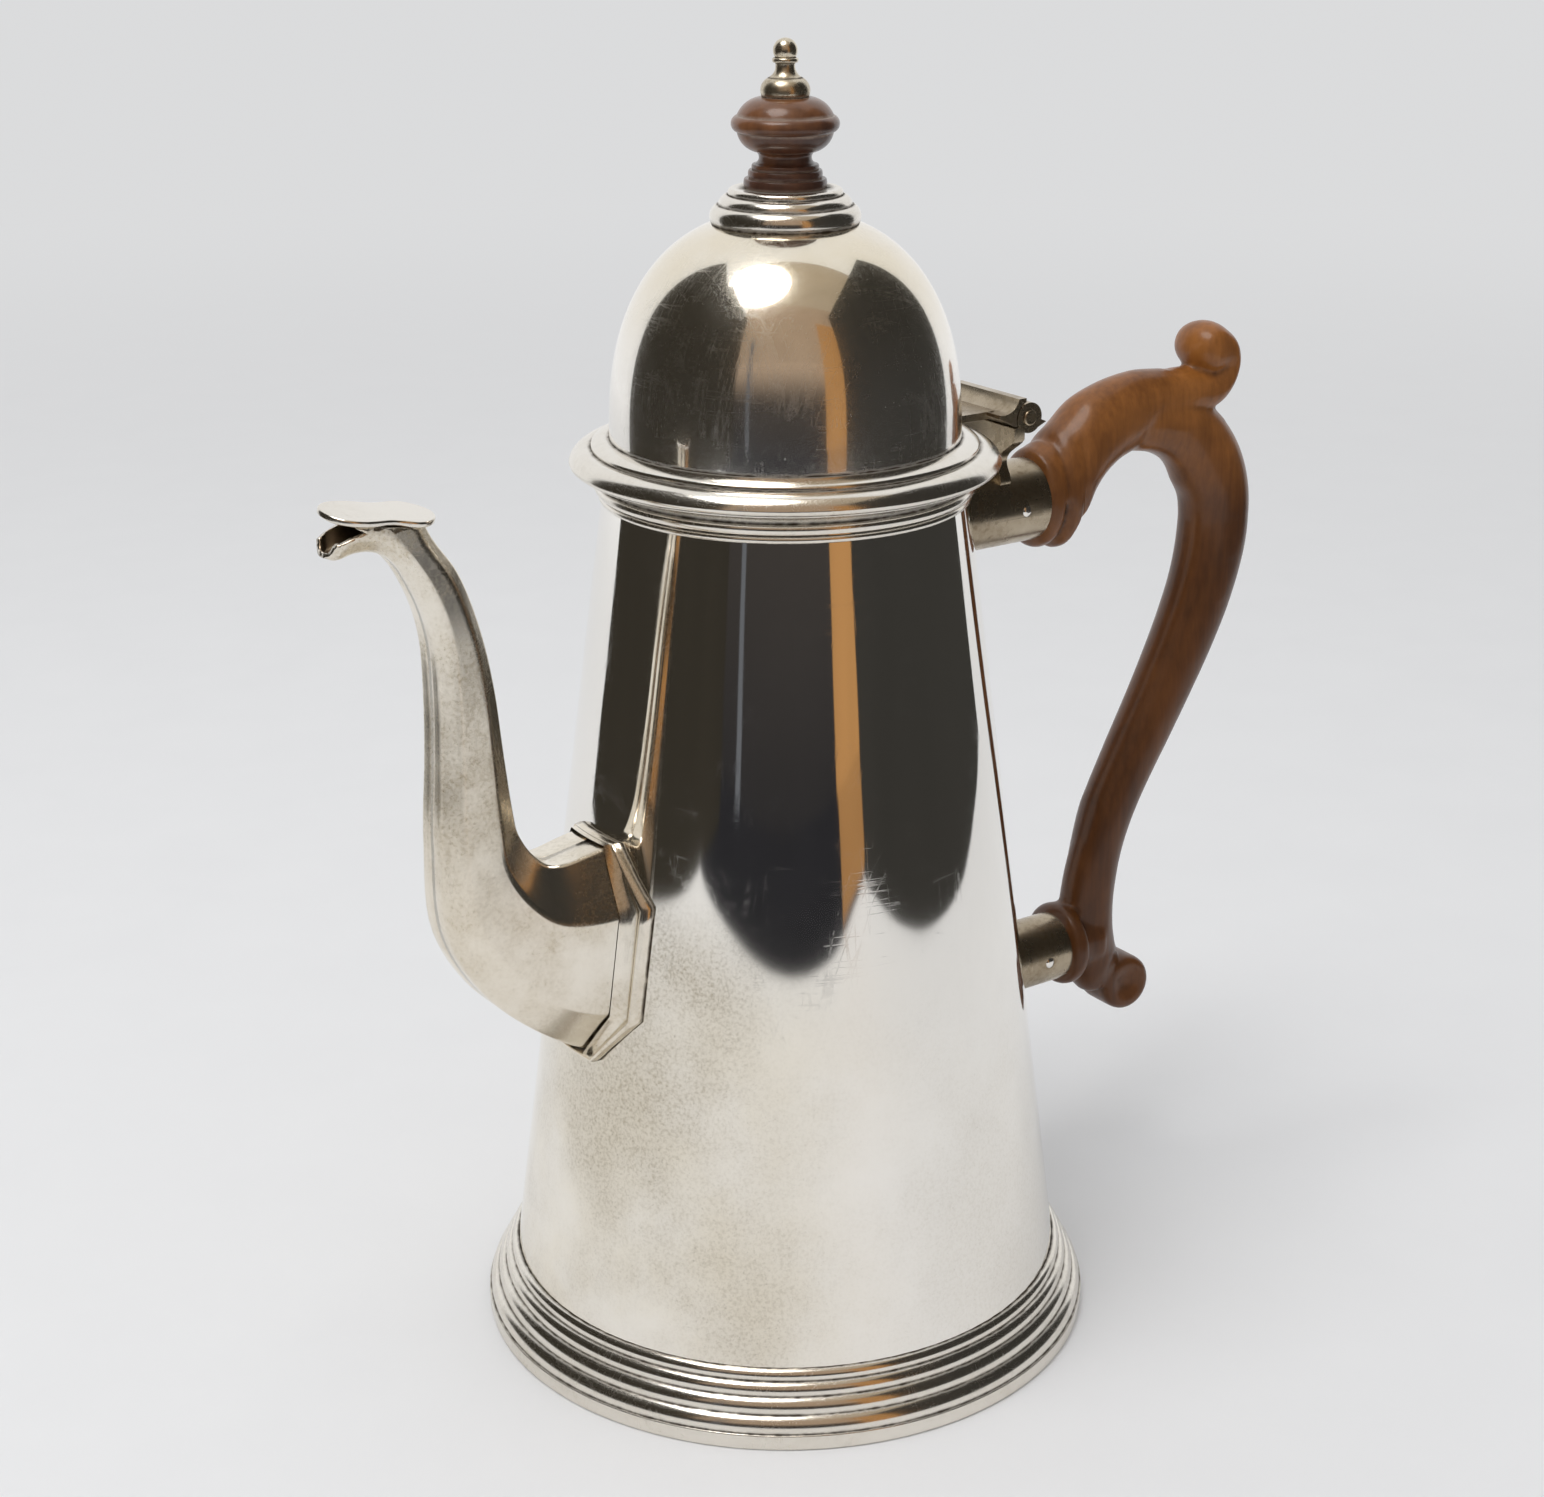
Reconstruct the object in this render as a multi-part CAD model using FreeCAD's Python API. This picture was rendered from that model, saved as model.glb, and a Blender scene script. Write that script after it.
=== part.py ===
import FreeCAD, Part
import math
import os
from collections import namedtuple
from FreeCAD import Vector

# A silver coffee pot with a tapering body, a faceted swan-neck spout, a hinged domed lid
# and a scrolled wooden handle. Millimetres, z = 0 on the table, z up along the pot's axis,
# spout towards -X, handle towards +X. The halves of the pot mirror each other about y = 0.

# Sheet silver, and the play left where pieces are soldered, slid or hung together
WALL = 0.9
SOLDER = 0.05
PIN_PLAY = 0.05
LEAF_PLAY = 0.35

# Body: a straight cone
BODY_HEIGHT = 174.0
CONE_BASE_RADIUS = 56.5
CONE_TOP_RADIUS = 33.5
CONE_FOOT_LIFT = 1.0
BASE_DISC_LIFT = 3.6
POUR_HOLE_RADIUS = 7.5

# Foot: a plain fillet under a stack of reeds that shrink towards the cone
FOOT_SPREAD = 4.5
FOOT_EDGE_ROUND = 0.5
FOOT_EDGE_SWELL = 0.1
FOOT_FILLET_HEIGHT = 3.2
FOOT_REED_HEIGHTS = (3.1, 2.9, 2.5, 2.2)
FOOT_REED_SWELL = 0.55
FOOT_GROOVE = 0.45

# Rim: a thin wire, then a reed and a hollow flaring out to the lip that carries the lid
WIRE_HEIGHT = 1.3
WIRE_SWELL = 0.5
WIRE_GAP = 0.3
RIM_REED_HEIGHT = 2.1
RIM_REED_SWELL = 0.75
RIM_OVERHANG = 5.4
RIM_LIP = 0.5
RIM_HOLLOW = 0.9
RIM_HEIGHT = 4.7

# Lid: flange, step, dome and the bezel that drops inside the body
LID_GAP = 0.1
FLANGE_OVERHANG = 1.2
FLANGE_SLOPE_WIDTH = 2.9
FLANGE_HEIGHT = 3.4
FLANGE_NOSE = 0.9
FLANGE_NOSE_INSET = 0.45
FLANGE_NOSE_SWELL = 0.15
FLANGE_SWELL = 0.55
STEP_SETBACK = 1.2
STEP_WIDTH = 3.4
STEP_LIP = 0.7
STEP_HEIGHT = 1.7
STEP_SWELL = 0.3
DOME_RISE = 41.0
DOME_FULLNESS = 2.4
BEZEL_PLAY = 0.8
BEZEL_DEPTH = 5.0

# Finial: stepped silver collar, turned wooden knop and silver cap on one threaded stud
COLLAR_RADIUS = 13.4
COLLAR_SKIRT = 3.3
COLLAR_SKIRT_INSET = 0.9
# collar tiers above the skirt: how far each draws in, and how high it is
COLLAR_TIERS = ((1.8, 1.8), (1.0, 1.2))
COLLAR_SKIRT_SWELL = 0.7
COLLAR_SWELL = 0.35
KNOP_SETBACK = 2.35
KNOP_TIER_SWELL = 0.18
KNOP_FOOT_HEIGHT = 1.7
KNOP_STEP = 0.8
KNOP_STEP_HEIGHT = 1.5
KNOP_RING = 0.65
KNOP_RING_HEIGHT = 1.0
KNOP_NECK_DEPTH = 1.15
KNOP_NECK_HEIGHT = 2.3
KNOP_BOWL_RADIUS = 8.7
KNOP_BOWL_HEIGHT = 3.3
KNOP_BOWL_SWELL = 0.6
KNOP_BEAD_SWELL = 1.05
KNOP_BEAD_HEIGHT = 2.9
KNOP_CROWN_RADIUS = 4.2
KNOP_CROWN_HEIGHT = 3.2
KNOP_CROWN_SWELL = 0.8
CAP_BELL_HEIGHT = 3.3
CAP_BELL_SWELL = 0.75
CAP_FLARE_RADIUS = 3.0
CAP_WAIST_RADIUS = 1.8
CAP_WAIST_HEIGHT = 2.6
CAP_WAIST_HOLLOW = 0.5
CAP_RING_PROUD = 0.35
CAP_RING_HEIGHT = 0.8
CAP_RING_SWELL = 0.2
CAP_BALL_PROUD = 0.4
STUD_RADIUS = 1.25
STUD_TAIL = 6.0
STUD_BITE = 3.0
WASHER_RADIUS = 5.0
WASHER_THICKNESS = 1.0
NUT_ACROSS_CORNERS = 5.8
NUT_THICKNESS = 2.4
NUT_SIDES = 6

# Hinge: knuckles on a pin that stands clear of the lid flange
HINGE_STANDOFF = 10.5
HINGE_RISE = 3.4
HINGE_LENGTH = 20.0
KNUCKLE_COUNT = 5
KNUCKLE_RADIUS = 3.0
KNUCKLE_GAP = 0.2
HINGE_PIN_RADIUS = 1.55
HINGE_PIN_PROUD = 0.3
# lid leaf: a narrow tongue on the flange, a coved plate and a ridge along the knuckles
LID_TONGUE_THICKNESS = 1.4
LID_TONGUE_HALF_WIDTH = 6.0
LID_LEAF_REACH = 7.5
LID_LEAF_COVE = 1.1
LID_LEAF_UNDERCUT = 1.3
LID_LEAF_UNDERCUT_REACH = 3.7
LID_RIDGE_HEIGHT = 4.0
LID_RIDGE_BACK = 1.0
LID_RIDGE_THICKNESS = 1.8
# body leaf: a waisted bracket that stands on the upper socket, with a stop tab behind its end knuckles
BRACKET_THICKNESS = 2.6
BRACKET_SETBACK = 2.5
BRACKET_SHOULDER = 4.0
BRACKET_FOOT_HALF_WIDTH = 6.2
BRACKET_WAIST = 0.9
STOP_TAB_PROUD = 1.2
STOP_TAB_HEIGHT = 2.4

# Handle sockets: tubes that stand out of the cone, each with a pin through the wood
UPPER_SOCKET_DROP = 15.7
UPPER_SOCKET_RADIUS = 8.3
UPPER_SOCKET_REACH = 22.8
LOWER_SOCKET_Z = 58.0
LOWER_SOCKET_RADIUS = 7.25
LOWER_SOCKET_REACH = 20.7
TENON_PLAY = 0.1
TENON_LENGTH = 13.0
SOCKET_PIN_RADIUS = 1.1
SOCKET_PIN_SETBACK = 6.2
SOCKET_PIN_PROUD = 0.25

# Wooden handle: collars on the sockets, an arm up to the thumb scroll, a loop down to the foot scroll
WOOD_FLATNESS = 0.9
# collars: how far each stands past the socket in height and in width, and its length
UPPER_COLLARS = ((2.0, 0.4, 4.6), (2.8, 0.1, 4.6))
LOWER_COLLARS = ((1.75, 1.75, 4.2),)
COLLAR_ROUND = 1.8
# arm stations: out from the upper socket's end, up from its axis, half depth
ARM = (
    (4.6, 0.3, 9.7),
    (9.8, 4.6, 9.2),
    (16.1, 9.7, 8.3),
    (26.1, 14.5, 6.9),
    (36.6, 16.5, 5.4),
    (44.6, 17.7, 4.7),
    (50.7, 21.4, 4.2),
)
# loop stations: out from the line of the sockets' ends, half depth
LOOP = (
    (31.0, 5.2),
    (43.0, 6.8),
    (48.7, 7.5),
    (51.0, 7.9),
    (47.2, 7.0),
    (37.6, 6.1),
    (24.9, 5.2),
    (14.3, 5.1),
    (10.0, 5.6),
    (9.6, 5.9),
    (13.0, 5.0),
)
# share of the drop between the sockets at each loop station
LOOP_DROP_SHARES = (-0.120, -0.090, -0.027, 0.083, 0.242, 0.417, 0.604, 0.779, 0.915, 1.020, 1.105)
THUMB_SCROLL_OUT = 47.6
THUMB_SCROLL_UP = 24.7
THUMB_SCROLL_RADIUS = 5.0
FOOT_SCROLL_OUT = 18.4
FOOT_SCROLL_DOWN = 12.2
FOOT_SCROLL_RADIUS = 5.4
SCROLL_HALF_WIDTH = 6.4
SCROLL_ROUND = 2.2

# Spout: octagonal sections from the body to the beak, each from its front edge to its back edge
SPOUT_Z = 88.0
SPOUT_WALL = 0.9
# front out, front up, back out, back up, half width, half width of front face, of back face
SPOUT_STATIONS = (
    (-3.5, -21.0, -9.0, 22.5, 12.0, 5.4, 5.6),
    (6.0, -18.2, 3.2, 20.2, 11.3, 5.3, 5.6),
    (14.6, -12.6, 9.6, 19.4, 10.1, 5.0, 5.0),
    (24.4, -3.2, 13.3, 21.9, 8.5, 4.5, 4.1),
    (30.9, 8.8, 15.7, 25.8, 7.2, 3.9, 3.5),
    (32.0, 27.2, 16.8, 30.8, 6.3, 3.4, 3.2),
    (31.2, 42.3, 18.1, 42.5, 5.8, 3.1, 2.9),
    (30.8, 55.0, 19.4, 55.0, 5.6, 3.1, 2.7),
    (31.3, 65.5, 21.6, 66.0, 5.4, 3.0, 2.5),
    (34.0, 74.3, 25.6, 77.2, 5.1, 2.8, 2.4),
    (37.2, 80.0, 30.4, 84.3, 4.9, 2.7, 2.4),
    (40.8, 82.7, 34.5, 93.0, 4.8, 2.6, 2.4),
    (45.4, 83.1, 44.0, 97.0, 4.7, 2.6, 2.4),
    (48.6, 82.4, 48.2, 98.0, 4.6, 2.5, 2.4),
    (49.8, 83.1, 49.8, 99.0, 4.3, 2.3, 2.3),
)
# share of each section where its side face starts and ends
SPOUT_SIDE_START = 0.24
SPOUT_SIDE_END = 0.71

# Spout border: an octagon on the cone, past the spout's root by margins, with a raised rib inside its edge
BORDER_TOP_MARGIN = 0.1
BORDER_BOTTOM_MARGIN = 1.7
BORDER_SIDE_MARGIN = 4.3
BORDER_END_MARGIN = 1.2
BORDER_SIDE_UP = 12.0
BORDER_SIDE_DOWN = 11.3
BORDER_THICKNESS = 0.9
BORDER_RIB = 1.0
BORDER_RIB_INSET = 1.9
BORDER_RIB_END_INSET = 0.6

# Spout lip plate: a flat fiddle-shaped cover over the beak, tilted up towards its front
PLATE_TIP_OUT = 28.5
PLATE_TIP_UP = 87.7
PLATE_TILT = 8.8
PLATE_THICKNESS = 1.2
PLATE_LENGTH = 19.2
# along the plate from its rear tip, and half width there
PLATE_REAR = (3.8, 5.6)
PLATE_WAIST = (10.0, 4.7)
PLATE_FRONT = (14.4, 5.5)
PLATE_TIP_POINT = 0.35
PLATE_END_FULLNESS = 5.0
# mouth of the beak: an open wedge from the notch in its sides forwards
NOTCH_OUT = 43.6
NOTCH_UP = 87.2
NOTCH_RISE = 0.55
LIP_FALL = 0.38

# Places worked out from the sizes above
FOOT_HEIGHT = FOOT_FILLET_HEIGHT + sum(FOOT_REED_HEIGHTS)
FOOT_RADIUS = CONE_BASE_RADIUS + FOOT_SPREAD
RIM_Z = BODY_HEIGHT - RIM_HEIGHT
RIM_RADIUS = CONE_TOP_RADIUS + RIM_OVERHANG
WIRE_Z = RIM_Z - WIRE_GAP - WIRE_HEIGHT
LID_Z = BODY_HEIGHT + LID_GAP
LID_SHELF_Z = LID_Z + FLANGE_HEIGHT
FLANGE_RADIUS = RIM_RADIUS + FLANGE_OVERHANG
FLANGE_TOP_RADIUS = FLANGE_RADIUS - FLANGE_SLOPE_WIDTH
STEP_RADIUS = FLANGE_TOP_RADIUS - STEP_SETBACK
DOME_RADIUS = STEP_RADIUS - STEP_WIDTH
DOME_SPRING_Z = LID_SHELF_Z + STEP_HEIGHT
BEZEL_RADIUS = CONE_TOP_RADIUS - WALL - BEZEL_PLAY
HINGE_X = FLANGE_RADIUS + HINGE_STANDOFF
HINGE_Z = LID_Z + HINGE_RISE
HINGE_BORE = HINGE_PIN_RADIUS + PIN_PLAY
STUD_HOLE_RADIUS = STUD_RADIUS + PIN_PLAY
FAR = 2.0 * BODY_HEIGHT
UP = Vector(0, 0, 1)
ALONG_X = Vector(1, 0, 0)
ALONG_Y = Vector(0, 1, 0)


def cone_radius(z):
    """Outer radius of the body at height z."""
    return CONE_BASE_RADIUS + (CONE_TOP_RADIUS - CONE_BASE_RADIUS) * z / BODY_HEIGHT


def cone_solid(grow, low, high):
    """The body's cone between two heights, with its radius grown all round."""
    return Part.makeCone(cone_radius(low) + grow, cone_radius(high) + grow, high - low, Vector(0, 0, low))


def dome_height(radius, grow):
    """Height of the dome's surface, grown all round, at a radius from its axis."""
    share = radius / (DOME_RADIUS + grow)
    return DOME_SPRING_Z + (DOME_RISE + grow) * (1 - share ** DOME_FULLNESS) ** (1 / DOME_FULLNESS)


UPPER_SOCKET_Z = BODY_HEIGHT - UPPER_SOCKET_DROP
UPPER_SOCKET_END = cone_radius(UPPER_SOCKET_Z) + UPPER_SOCKET_REACH
LOWER_SOCKET_END = cone_radius(LOWER_SOCKET_Z) + LOWER_SOCKET_REACH
UPPER_SOCKET = (UPPER_SOCKET_RADIUS, UPPER_SOCKET_Z, UPPER_SOCKET_END)
LOWER_SOCKET = (LOWER_SOCKET_RADIUS, LOWER_SOCKET_Z, LOWER_SOCKET_END)
SPOUT_ROOT = cone_radius(SPOUT_Z)
Station = namedtuple("Station", "front_out front_up back_out back_up half front_half back_half")
ROOT_STATION = Station(*SPOUT_STATIONS[0])
BORDER_TOP_Z = SPOUT_Z + ROOT_STATION.back_up + BORDER_TOP_MARGIN
BORDER_BOTTOM_Z = SPOUT_Z + ROOT_STATION.front_up - BORDER_BOTTOM_MARGIN
BORDER_HALF_WIDTH = ROOT_STATION.half + BORDER_SIDE_MARGIN
BORDER_END_HALF_WIDTH = ROOT_STATION.back_half + BORDER_END_MARGIN
COLLAR_Z = dome_height(COLLAR_RADIUS, 0)
COLLAR_TIER_RADIUS = COLLAR_RADIUS - COLLAR_SKIRT_INSET
KNOP_Z = COLLAR_Z + COLLAR_SKIRT + sum(rise for inset, rise in COLLAR_TIERS)
KNOP_FOOT_RADIUS = COLLAR_TIER_RADIUS - sum(inset for inset, rise in COLLAR_TIERS) - KNOP_SETBACK
KNOP_STEM_HEIGHT = KNOP_FOOT_HEIGHT + KNOP_STEP_HEIGHT + KNOP_RING_HEIGHT + KNOP_NECK_HEIGHT
CAP_Z = KNOP_Z + KNOP_STEM_HEIGHT + KNOP_BOWL_HEIGHT + KNOP_BEAD_HEIGHT + KNOP_CROWN_HEIGHT
WASHER_TOP_Z = dome_height(WASHER_RADIUS, -WALL) - SOLDER


class Outline:
    """A closed outline in the plane y = 0, drawn step by step."""

    def __init__(self, x, z):
        self.first = Vector(x, 0, z)
        self.last = self.first
        self.edges = []

    def line(self, x, z):
        """Straight to a point."""
        end = Vector(x, 0, z)
        self.edges.append(Part.makeLine(self.last, end))
        self.last = end
        return self

    def swell(self, x, z, height):
        """Arc to a point, standing off its chord by a height, to the right of the way travelled."""
        end = Vector(x, 0, z)
        chord = end - self.last
        side = Vector(chord.z, 0, -chord.x).normalize()
        middle = (self.last + end) * 0.5 + side * height
        return self.arc(middle, end)

    def arc(self, middle, end):
        """Arc through one point to another."""
        self.edges.append(Part.Arc(self.last, middle, end).toShape())
        self.last = end
        return self

    def curve(self, points, start, finish):
        """Smooth curve through points, with the directions of its two ends."""
        spline = Part.BSplineCurve()
        spline.interpolate(Points=[self.last] + points, InitialTangent=start, FinalTangent=finish)
        self.edges.append(spline.toShape())
        self.last = points[-1]
        return self

    def face(self):
        """The outline, closed by a straight line, as a face."""
        if self.last.distanceToPoint(self.first) > SOLDER / 100:
            self.line(self.first.x, self.first.z)
        return Part.Face(Part.Wire(self.edges))


def turned(outline):
    """A solid turned about the pot's axis."""
    return outline.face().revolve(Vector(0, 0, 0), UP, 360)


def across(outline, low, high):
    """A solid of one outline between two places along Y."""
    face = outline.face()
    face.translate(Vector(0, low, 0))
    return face.extrude(Vector(0, high - low, 0))


def drill(solid, radius):
    """A solid with a hole along the pot's axis."""
    return solid.cut(Part.makeCylinder(radius, 2 * FAR, Vector(0, 0, -FAR)))


def rod_y(radius, x, z, half_length):
    """A round rod along Y, centred on y = 0."""
    return Part.makeCylinder(radius, 2 * half_length, Vector(x, -half_length, z), ALONG_Y)


def mirrored_section(rows):
    """A closed outline from half widths at places along a line, the same on both sides of y = 0."""
    right = [place + ALONG_Y * width for place, width in rows]
    left = [place - ALONG_Y * width for place, width in reversed(rows)]
    return Part.makePolygon(right + left + right[:1])


# Body and foot


def body_cone():
    """The seamed cone, open at both ends, with the hole that feeds the spout."""
    shell = cone_solid(0, CONE_FOOT_LIFT, BODY_HEIGHT)
    shell = shell.cut(cone_solid(-WALL, 0, BODY_HEIGHT + RIM_HEIGHT))
    hole = Part.makeCylinder(POUR_HOLE_RADIUS, 2 * SPOUT_ROOT, Vector(0, 0, SPOUT_Z), Vector(-1, 0, 0))
    return shell.cut(hole)


def base_disc():
    """The flat bottom, let into the cone."""
    return cone_solid(-WALL - SOLDER, BASE_DISC_LIFT, BASE_DISC_LIFT + WALL)


def foot_moulding():
    """The reeded foot ring that the pot stands on."""
    outline = Outline(cone_radius(0) + SOLDER, 0)
    outline.line(FOOT_RADIUS - FOOT_EDGE_ROUND, 0)
    outline.swell(FOOT_RADIUS, FOOT_EDGE_ROUND, FOOT_EDGE_SWELL)
    outline.line(FOOT_RADIUS, FOOT_FILLET_HEIGHT)
    radius = FOOT_RADIUS - FOOT_GROOVE
    fall = (radius - cone_radius(FOOT_HEIGHT) - SOLDER) / sum(FOOT_REED_HEIGHTS)
    height = FOOT_FILLET_HEIGHT
    outline.line(radius, height)
    for reed in FOOT_REED_HEIGHTS:
        radius -= fall * reed
        height += reed
        outline.swell(radius, height, FOOT_REED_SWELL)
    return turned(outline)


def rim_wire():
    """The thin half-round wire just under the rim."""
    top = WIRE_Z + WIRE_HEIGHT
    outline = Outline(cone_radius(WIRE_Z) + SOLDER, WIRE_Z)
    outline.swell(cone_radius(top) + SOLDER, top, WIRE_SWELL)
    return turned(outline)


def rim_moulding():
    """The reed and the hollow that carry the lid."""
    reed_radius = cone_radius(RIM_Z) + RIM_REED_SWELL
    outline = Outline(cone_radius(RIM_Z) + SOLDER, RIM_Z)
    outline.line(reed_radius, RIM_Z)
    outline.swell(reed_radius, RIM_Z + RIM_REED_HEIGHT, RIM_REED_SWELL)
    outline.swell(RIM_RADIUS, BODY_HEIGHT - RIM_LIP, -RIM_HOLLOW)
    outline.line(RIM_RADIUS, BODY_HEIGHT)
    outline.line(CONE_TOP_RADIUS + SOLDER, BODY_HEIGHT)
    return turned(outline)


# Lid


def lid_flange():
    """The heavy rounded flange that sits on the rim."""
    bore = BEZEL_RADIUS + SOLDER
    outline = Outline(bore, LID_Z)
    outline.line(FLANGE_RADIUS - FLANGE_NOSE_INSET, LID_Z)
    outline.swell(FLANGE_RADIUS, LID_Z + FLANGE_NOSE, FLANGE_NOSE_SWELL)
    outline.swell(FLANGE_TOP_RADIUS, LID_SHELF_Z, FLANGE_SWELL)
    outline.line(bore, LID_SHELF_Z)
    return turned(outline)


def lid_step_ring():
    """The small ring around the foot of the dome."""
    bore = DOME_RADIUS + SOLDER
    outline = Outline(bore, LID_SHELF_Z)
    outline.line(STEP_RADIUS, LID_SHELF_Z)
    outline.line(STEP_RADIUS, LID_SHELF_Z + STEP_LIP)
    outline.swell(bore, LID_SHELF_Z + STEP_HEIGHT, STEP_SWELL)
    return turned(outline)


def dome_solid(grow, count=9):
    """The whole dome as a solid, its arch by the formula of a full ellipse, grown all round."""
    power = 2.0 / DOME_FULLNESS
    arch = []
    for i in range(1, count - 1):
        turn = 0.5 * math.pi * i / (count - 1)
        radius = (DOME_RADIUS + grow) * math.cos(turn) ** power
        arch.append(Vector(radius, 0, dome_height(radius, grow)))
    arch.append(Vector(0, 0, dome_height(0, grow)))
    outline = Outline(0, LID_SHELF_Z)
    outline.line(DOME_RADIUS + grow, LID_SHELF_Z)
    outline.line(DOME_RADIUS + grow, DOME_SPRING_Z)
    outline.curve(arch, UP, -ALONG_X)
    return turned(outline)


def lid_dome():
    """The raised dome, pierced at its crown for the finial's stud."""
    return drill(dome_solid(0).cut(dome_solid(-WALL)), STUD_HOLE_RADIUS)


def lid_bezel():
    """The ring under the lid that drops inside the body."""
    low = LID_Z - BEZEL_DEPTH
    outer = Part.makeCylinder(BEZEL_RADIUS, LID_SHELF_Z - low, Vector(0, 0, low))
    return drill(outer, BEZEL_RADIUS - WALL)


# Finial


def finial_collar():
    """The stepped silver collar on the crown of the dome."""
    radius = COLLAR_TIER_RADIUS
    height = COLLAR_Z + COLLAR_SKIRT
    outline = Outline(0, COLLAR_Z)
    outline.line(COLLAR_RADIUS, COLLAR_Z)
    outline.swell(radius, height, COLLAR_SKIRT_SWELL)
    for inset, rise in COLLAR_TIERS:
        outline.line(radius - COLLAR_SWELL, height)
        radius -= inset
        height += rise
        outline.swell(radius, height, COLLAR_SWELL)
    outline.line(0, height)
    return drill(turned(outline).cut(dome_solid(SOLDER)), STUD_HOLE_RADIUS)


def finial_knop():
    """The turned wooden knop: foot, step, ring, neck, bowl, bead and crown."""
    radius = KNOP_FOOT_RADIUS
    height = KNOP_Z
    outline = Outline(0, height)
    for inset, rise, swell in (
        (0, KNOP_FOOT_HEIGHT, KNOP_TIER_SWELL),
        (KNOP_STEP, KNOP_STEP_HEIGHT, KNOP_TIER_SWELL),
        (KNOP_RING, KNOP_RING_HEIGHT, KNOP_TIER_SWELL),
        (0, KNOP_NECK_HEIGHT, -KNOP_NECK_DEPTH),
    ):
        radius -= inset
        if outline.last.x != radius:
            outline.line(radius, height)
        height += rise
        outline.swell(radius, height, swell)
    for radius, rise, swell in (
        (KNOP_BOWL_RADIUS, KNOP_BOWL_HEIGHT, KNOP_BOWL_SWELL),
        (KNOP_BOWL_RADIUS, KNOP_BEAD_HEIGHT, KNOP_BEAD_SWELL),
        (KNOP_CROWN_RADIUS, KNOP_CROWN_HEIGHT, KNOP_CROWN_SWELL),
    ):
        height += rise
        outline.swell(radius, height, swell)
    outline.line(0, height)
    return drill(turned(outline), STUD_HOLE_RADIUS)


def finial_cap():
    """The silver cap nut with its ball tip, bored for the stud."""
    height = CAP_Z
    ring_radius = CAP_WAIST_RADIUS + CAP_RING_PROUD
    ball_radius = CAP_WAIST_RADIUS + CAP_BALL_PROUD
    outline = Outline(0, height)
    outline.line(KNOP_CROWN_RADIUS, height)
    height += CAP_BELL_HEIGHT
    outline.swell(CAP_FLARE_RADIUS, height, CAP_BELL_SWELL)
    height += CAP_WAIST_HEIGHT
    outline.swell(CAP_WAIST_RADIUS, height, -CAP_WAIST_HOLLOW)
    outline.line(ring_radius, height)
    height += CAP_RING_HEIGHT
    outline.swell(ring_radius, height, CAP_RING_SWELL)
    outline.line(CAP_WAIST_RADIUS, height)
    height += math.sqrt(ball_radius ** 2 - CAP_WAIST_RADIUS ** 2)
    outline.arc(Vector(ball_radius, 0, height), Vector(0, 0, height + ball_radius))
    bore = Part.makeCylinder(STUD_HOLE_RADIUS, STUD_BITE + SOLDER, Vector(0, 0, CAP_Z))
    return turned(outline).cut(bore)


def finial_stud():
    """The threaded stud from the cap down through the knop, the collar and the dome."""
    low = WASHER_TOP_Z - STUD_TAIL
    return Part.makeCylinder(STUD_RADIUS, CAP_Z + STUD_BITE - low, Vector(0, 0, low))


def finial_washer():
    """The washer under the crown of the dome."""
    disc = Part.makeCylinder(WASHER_RADIUS, WASHER_THICKNESS, Vector(0, 0, WASHER_TOP_Z - WASHER_THICKNESS))
    return drill(disc, STUD_HOLE_RADIUS)


def finial_nut():
    """The nut that draws the finial down."""
    low = WASHER_TOP_Z - WASHER_THICKNESS - NUT_THICKNESS
    corners = []
    for i in range(NUT_SIDES + 1):
        turn = math.radians(360 / NUT_SIDES * i)
        corners.append(Vector(math.cos(turn), math.sin(turn), 0) * (NUT_ACROSS_CORNERS / 2) + UP * low)
    section = Part.Face(Part.makePolygon(corners))
    return drill(section.extrude(UP * NUT_THICKNESS), STUD_HOLE_RADIUS)


# Hinge

BODY_KNUCKLES = range(0, KNUCKLE_COUNT, 2)
LID_KNUCKLES = range(1, KNUCKLE_COUNT, 2)


def barrel(index, radius, ease):
    """A plain cylinder at one knuckle's place on the pin, longer at each end by an ease."""
    pitch = HINGE_LENGTH / KNUCKLE_COUNT
    start = -HINGE_LENGTH / 2 + index * pitch - ease
    return Part.makeCylinder(radius, pitch + 2 * ease, Vector(HINGE_X, start, HINGE_Z), ALONG_Y)


def knuckles(indices):
    """The knuckles of one leaf, not yet bored."""
    return [barrel(index, KNUCKLE_RADIUS, -KNUCKLE_GAP / 2) for index in indices]


def knuckle_room(indices):
    """The space that the other leaf's knuckles turn in."""
    return [barrel(index, KNUCKLE_RADIUS + LEAF_PLAY, KNUCKLE_GAP / 2) for index in indices]


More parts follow.
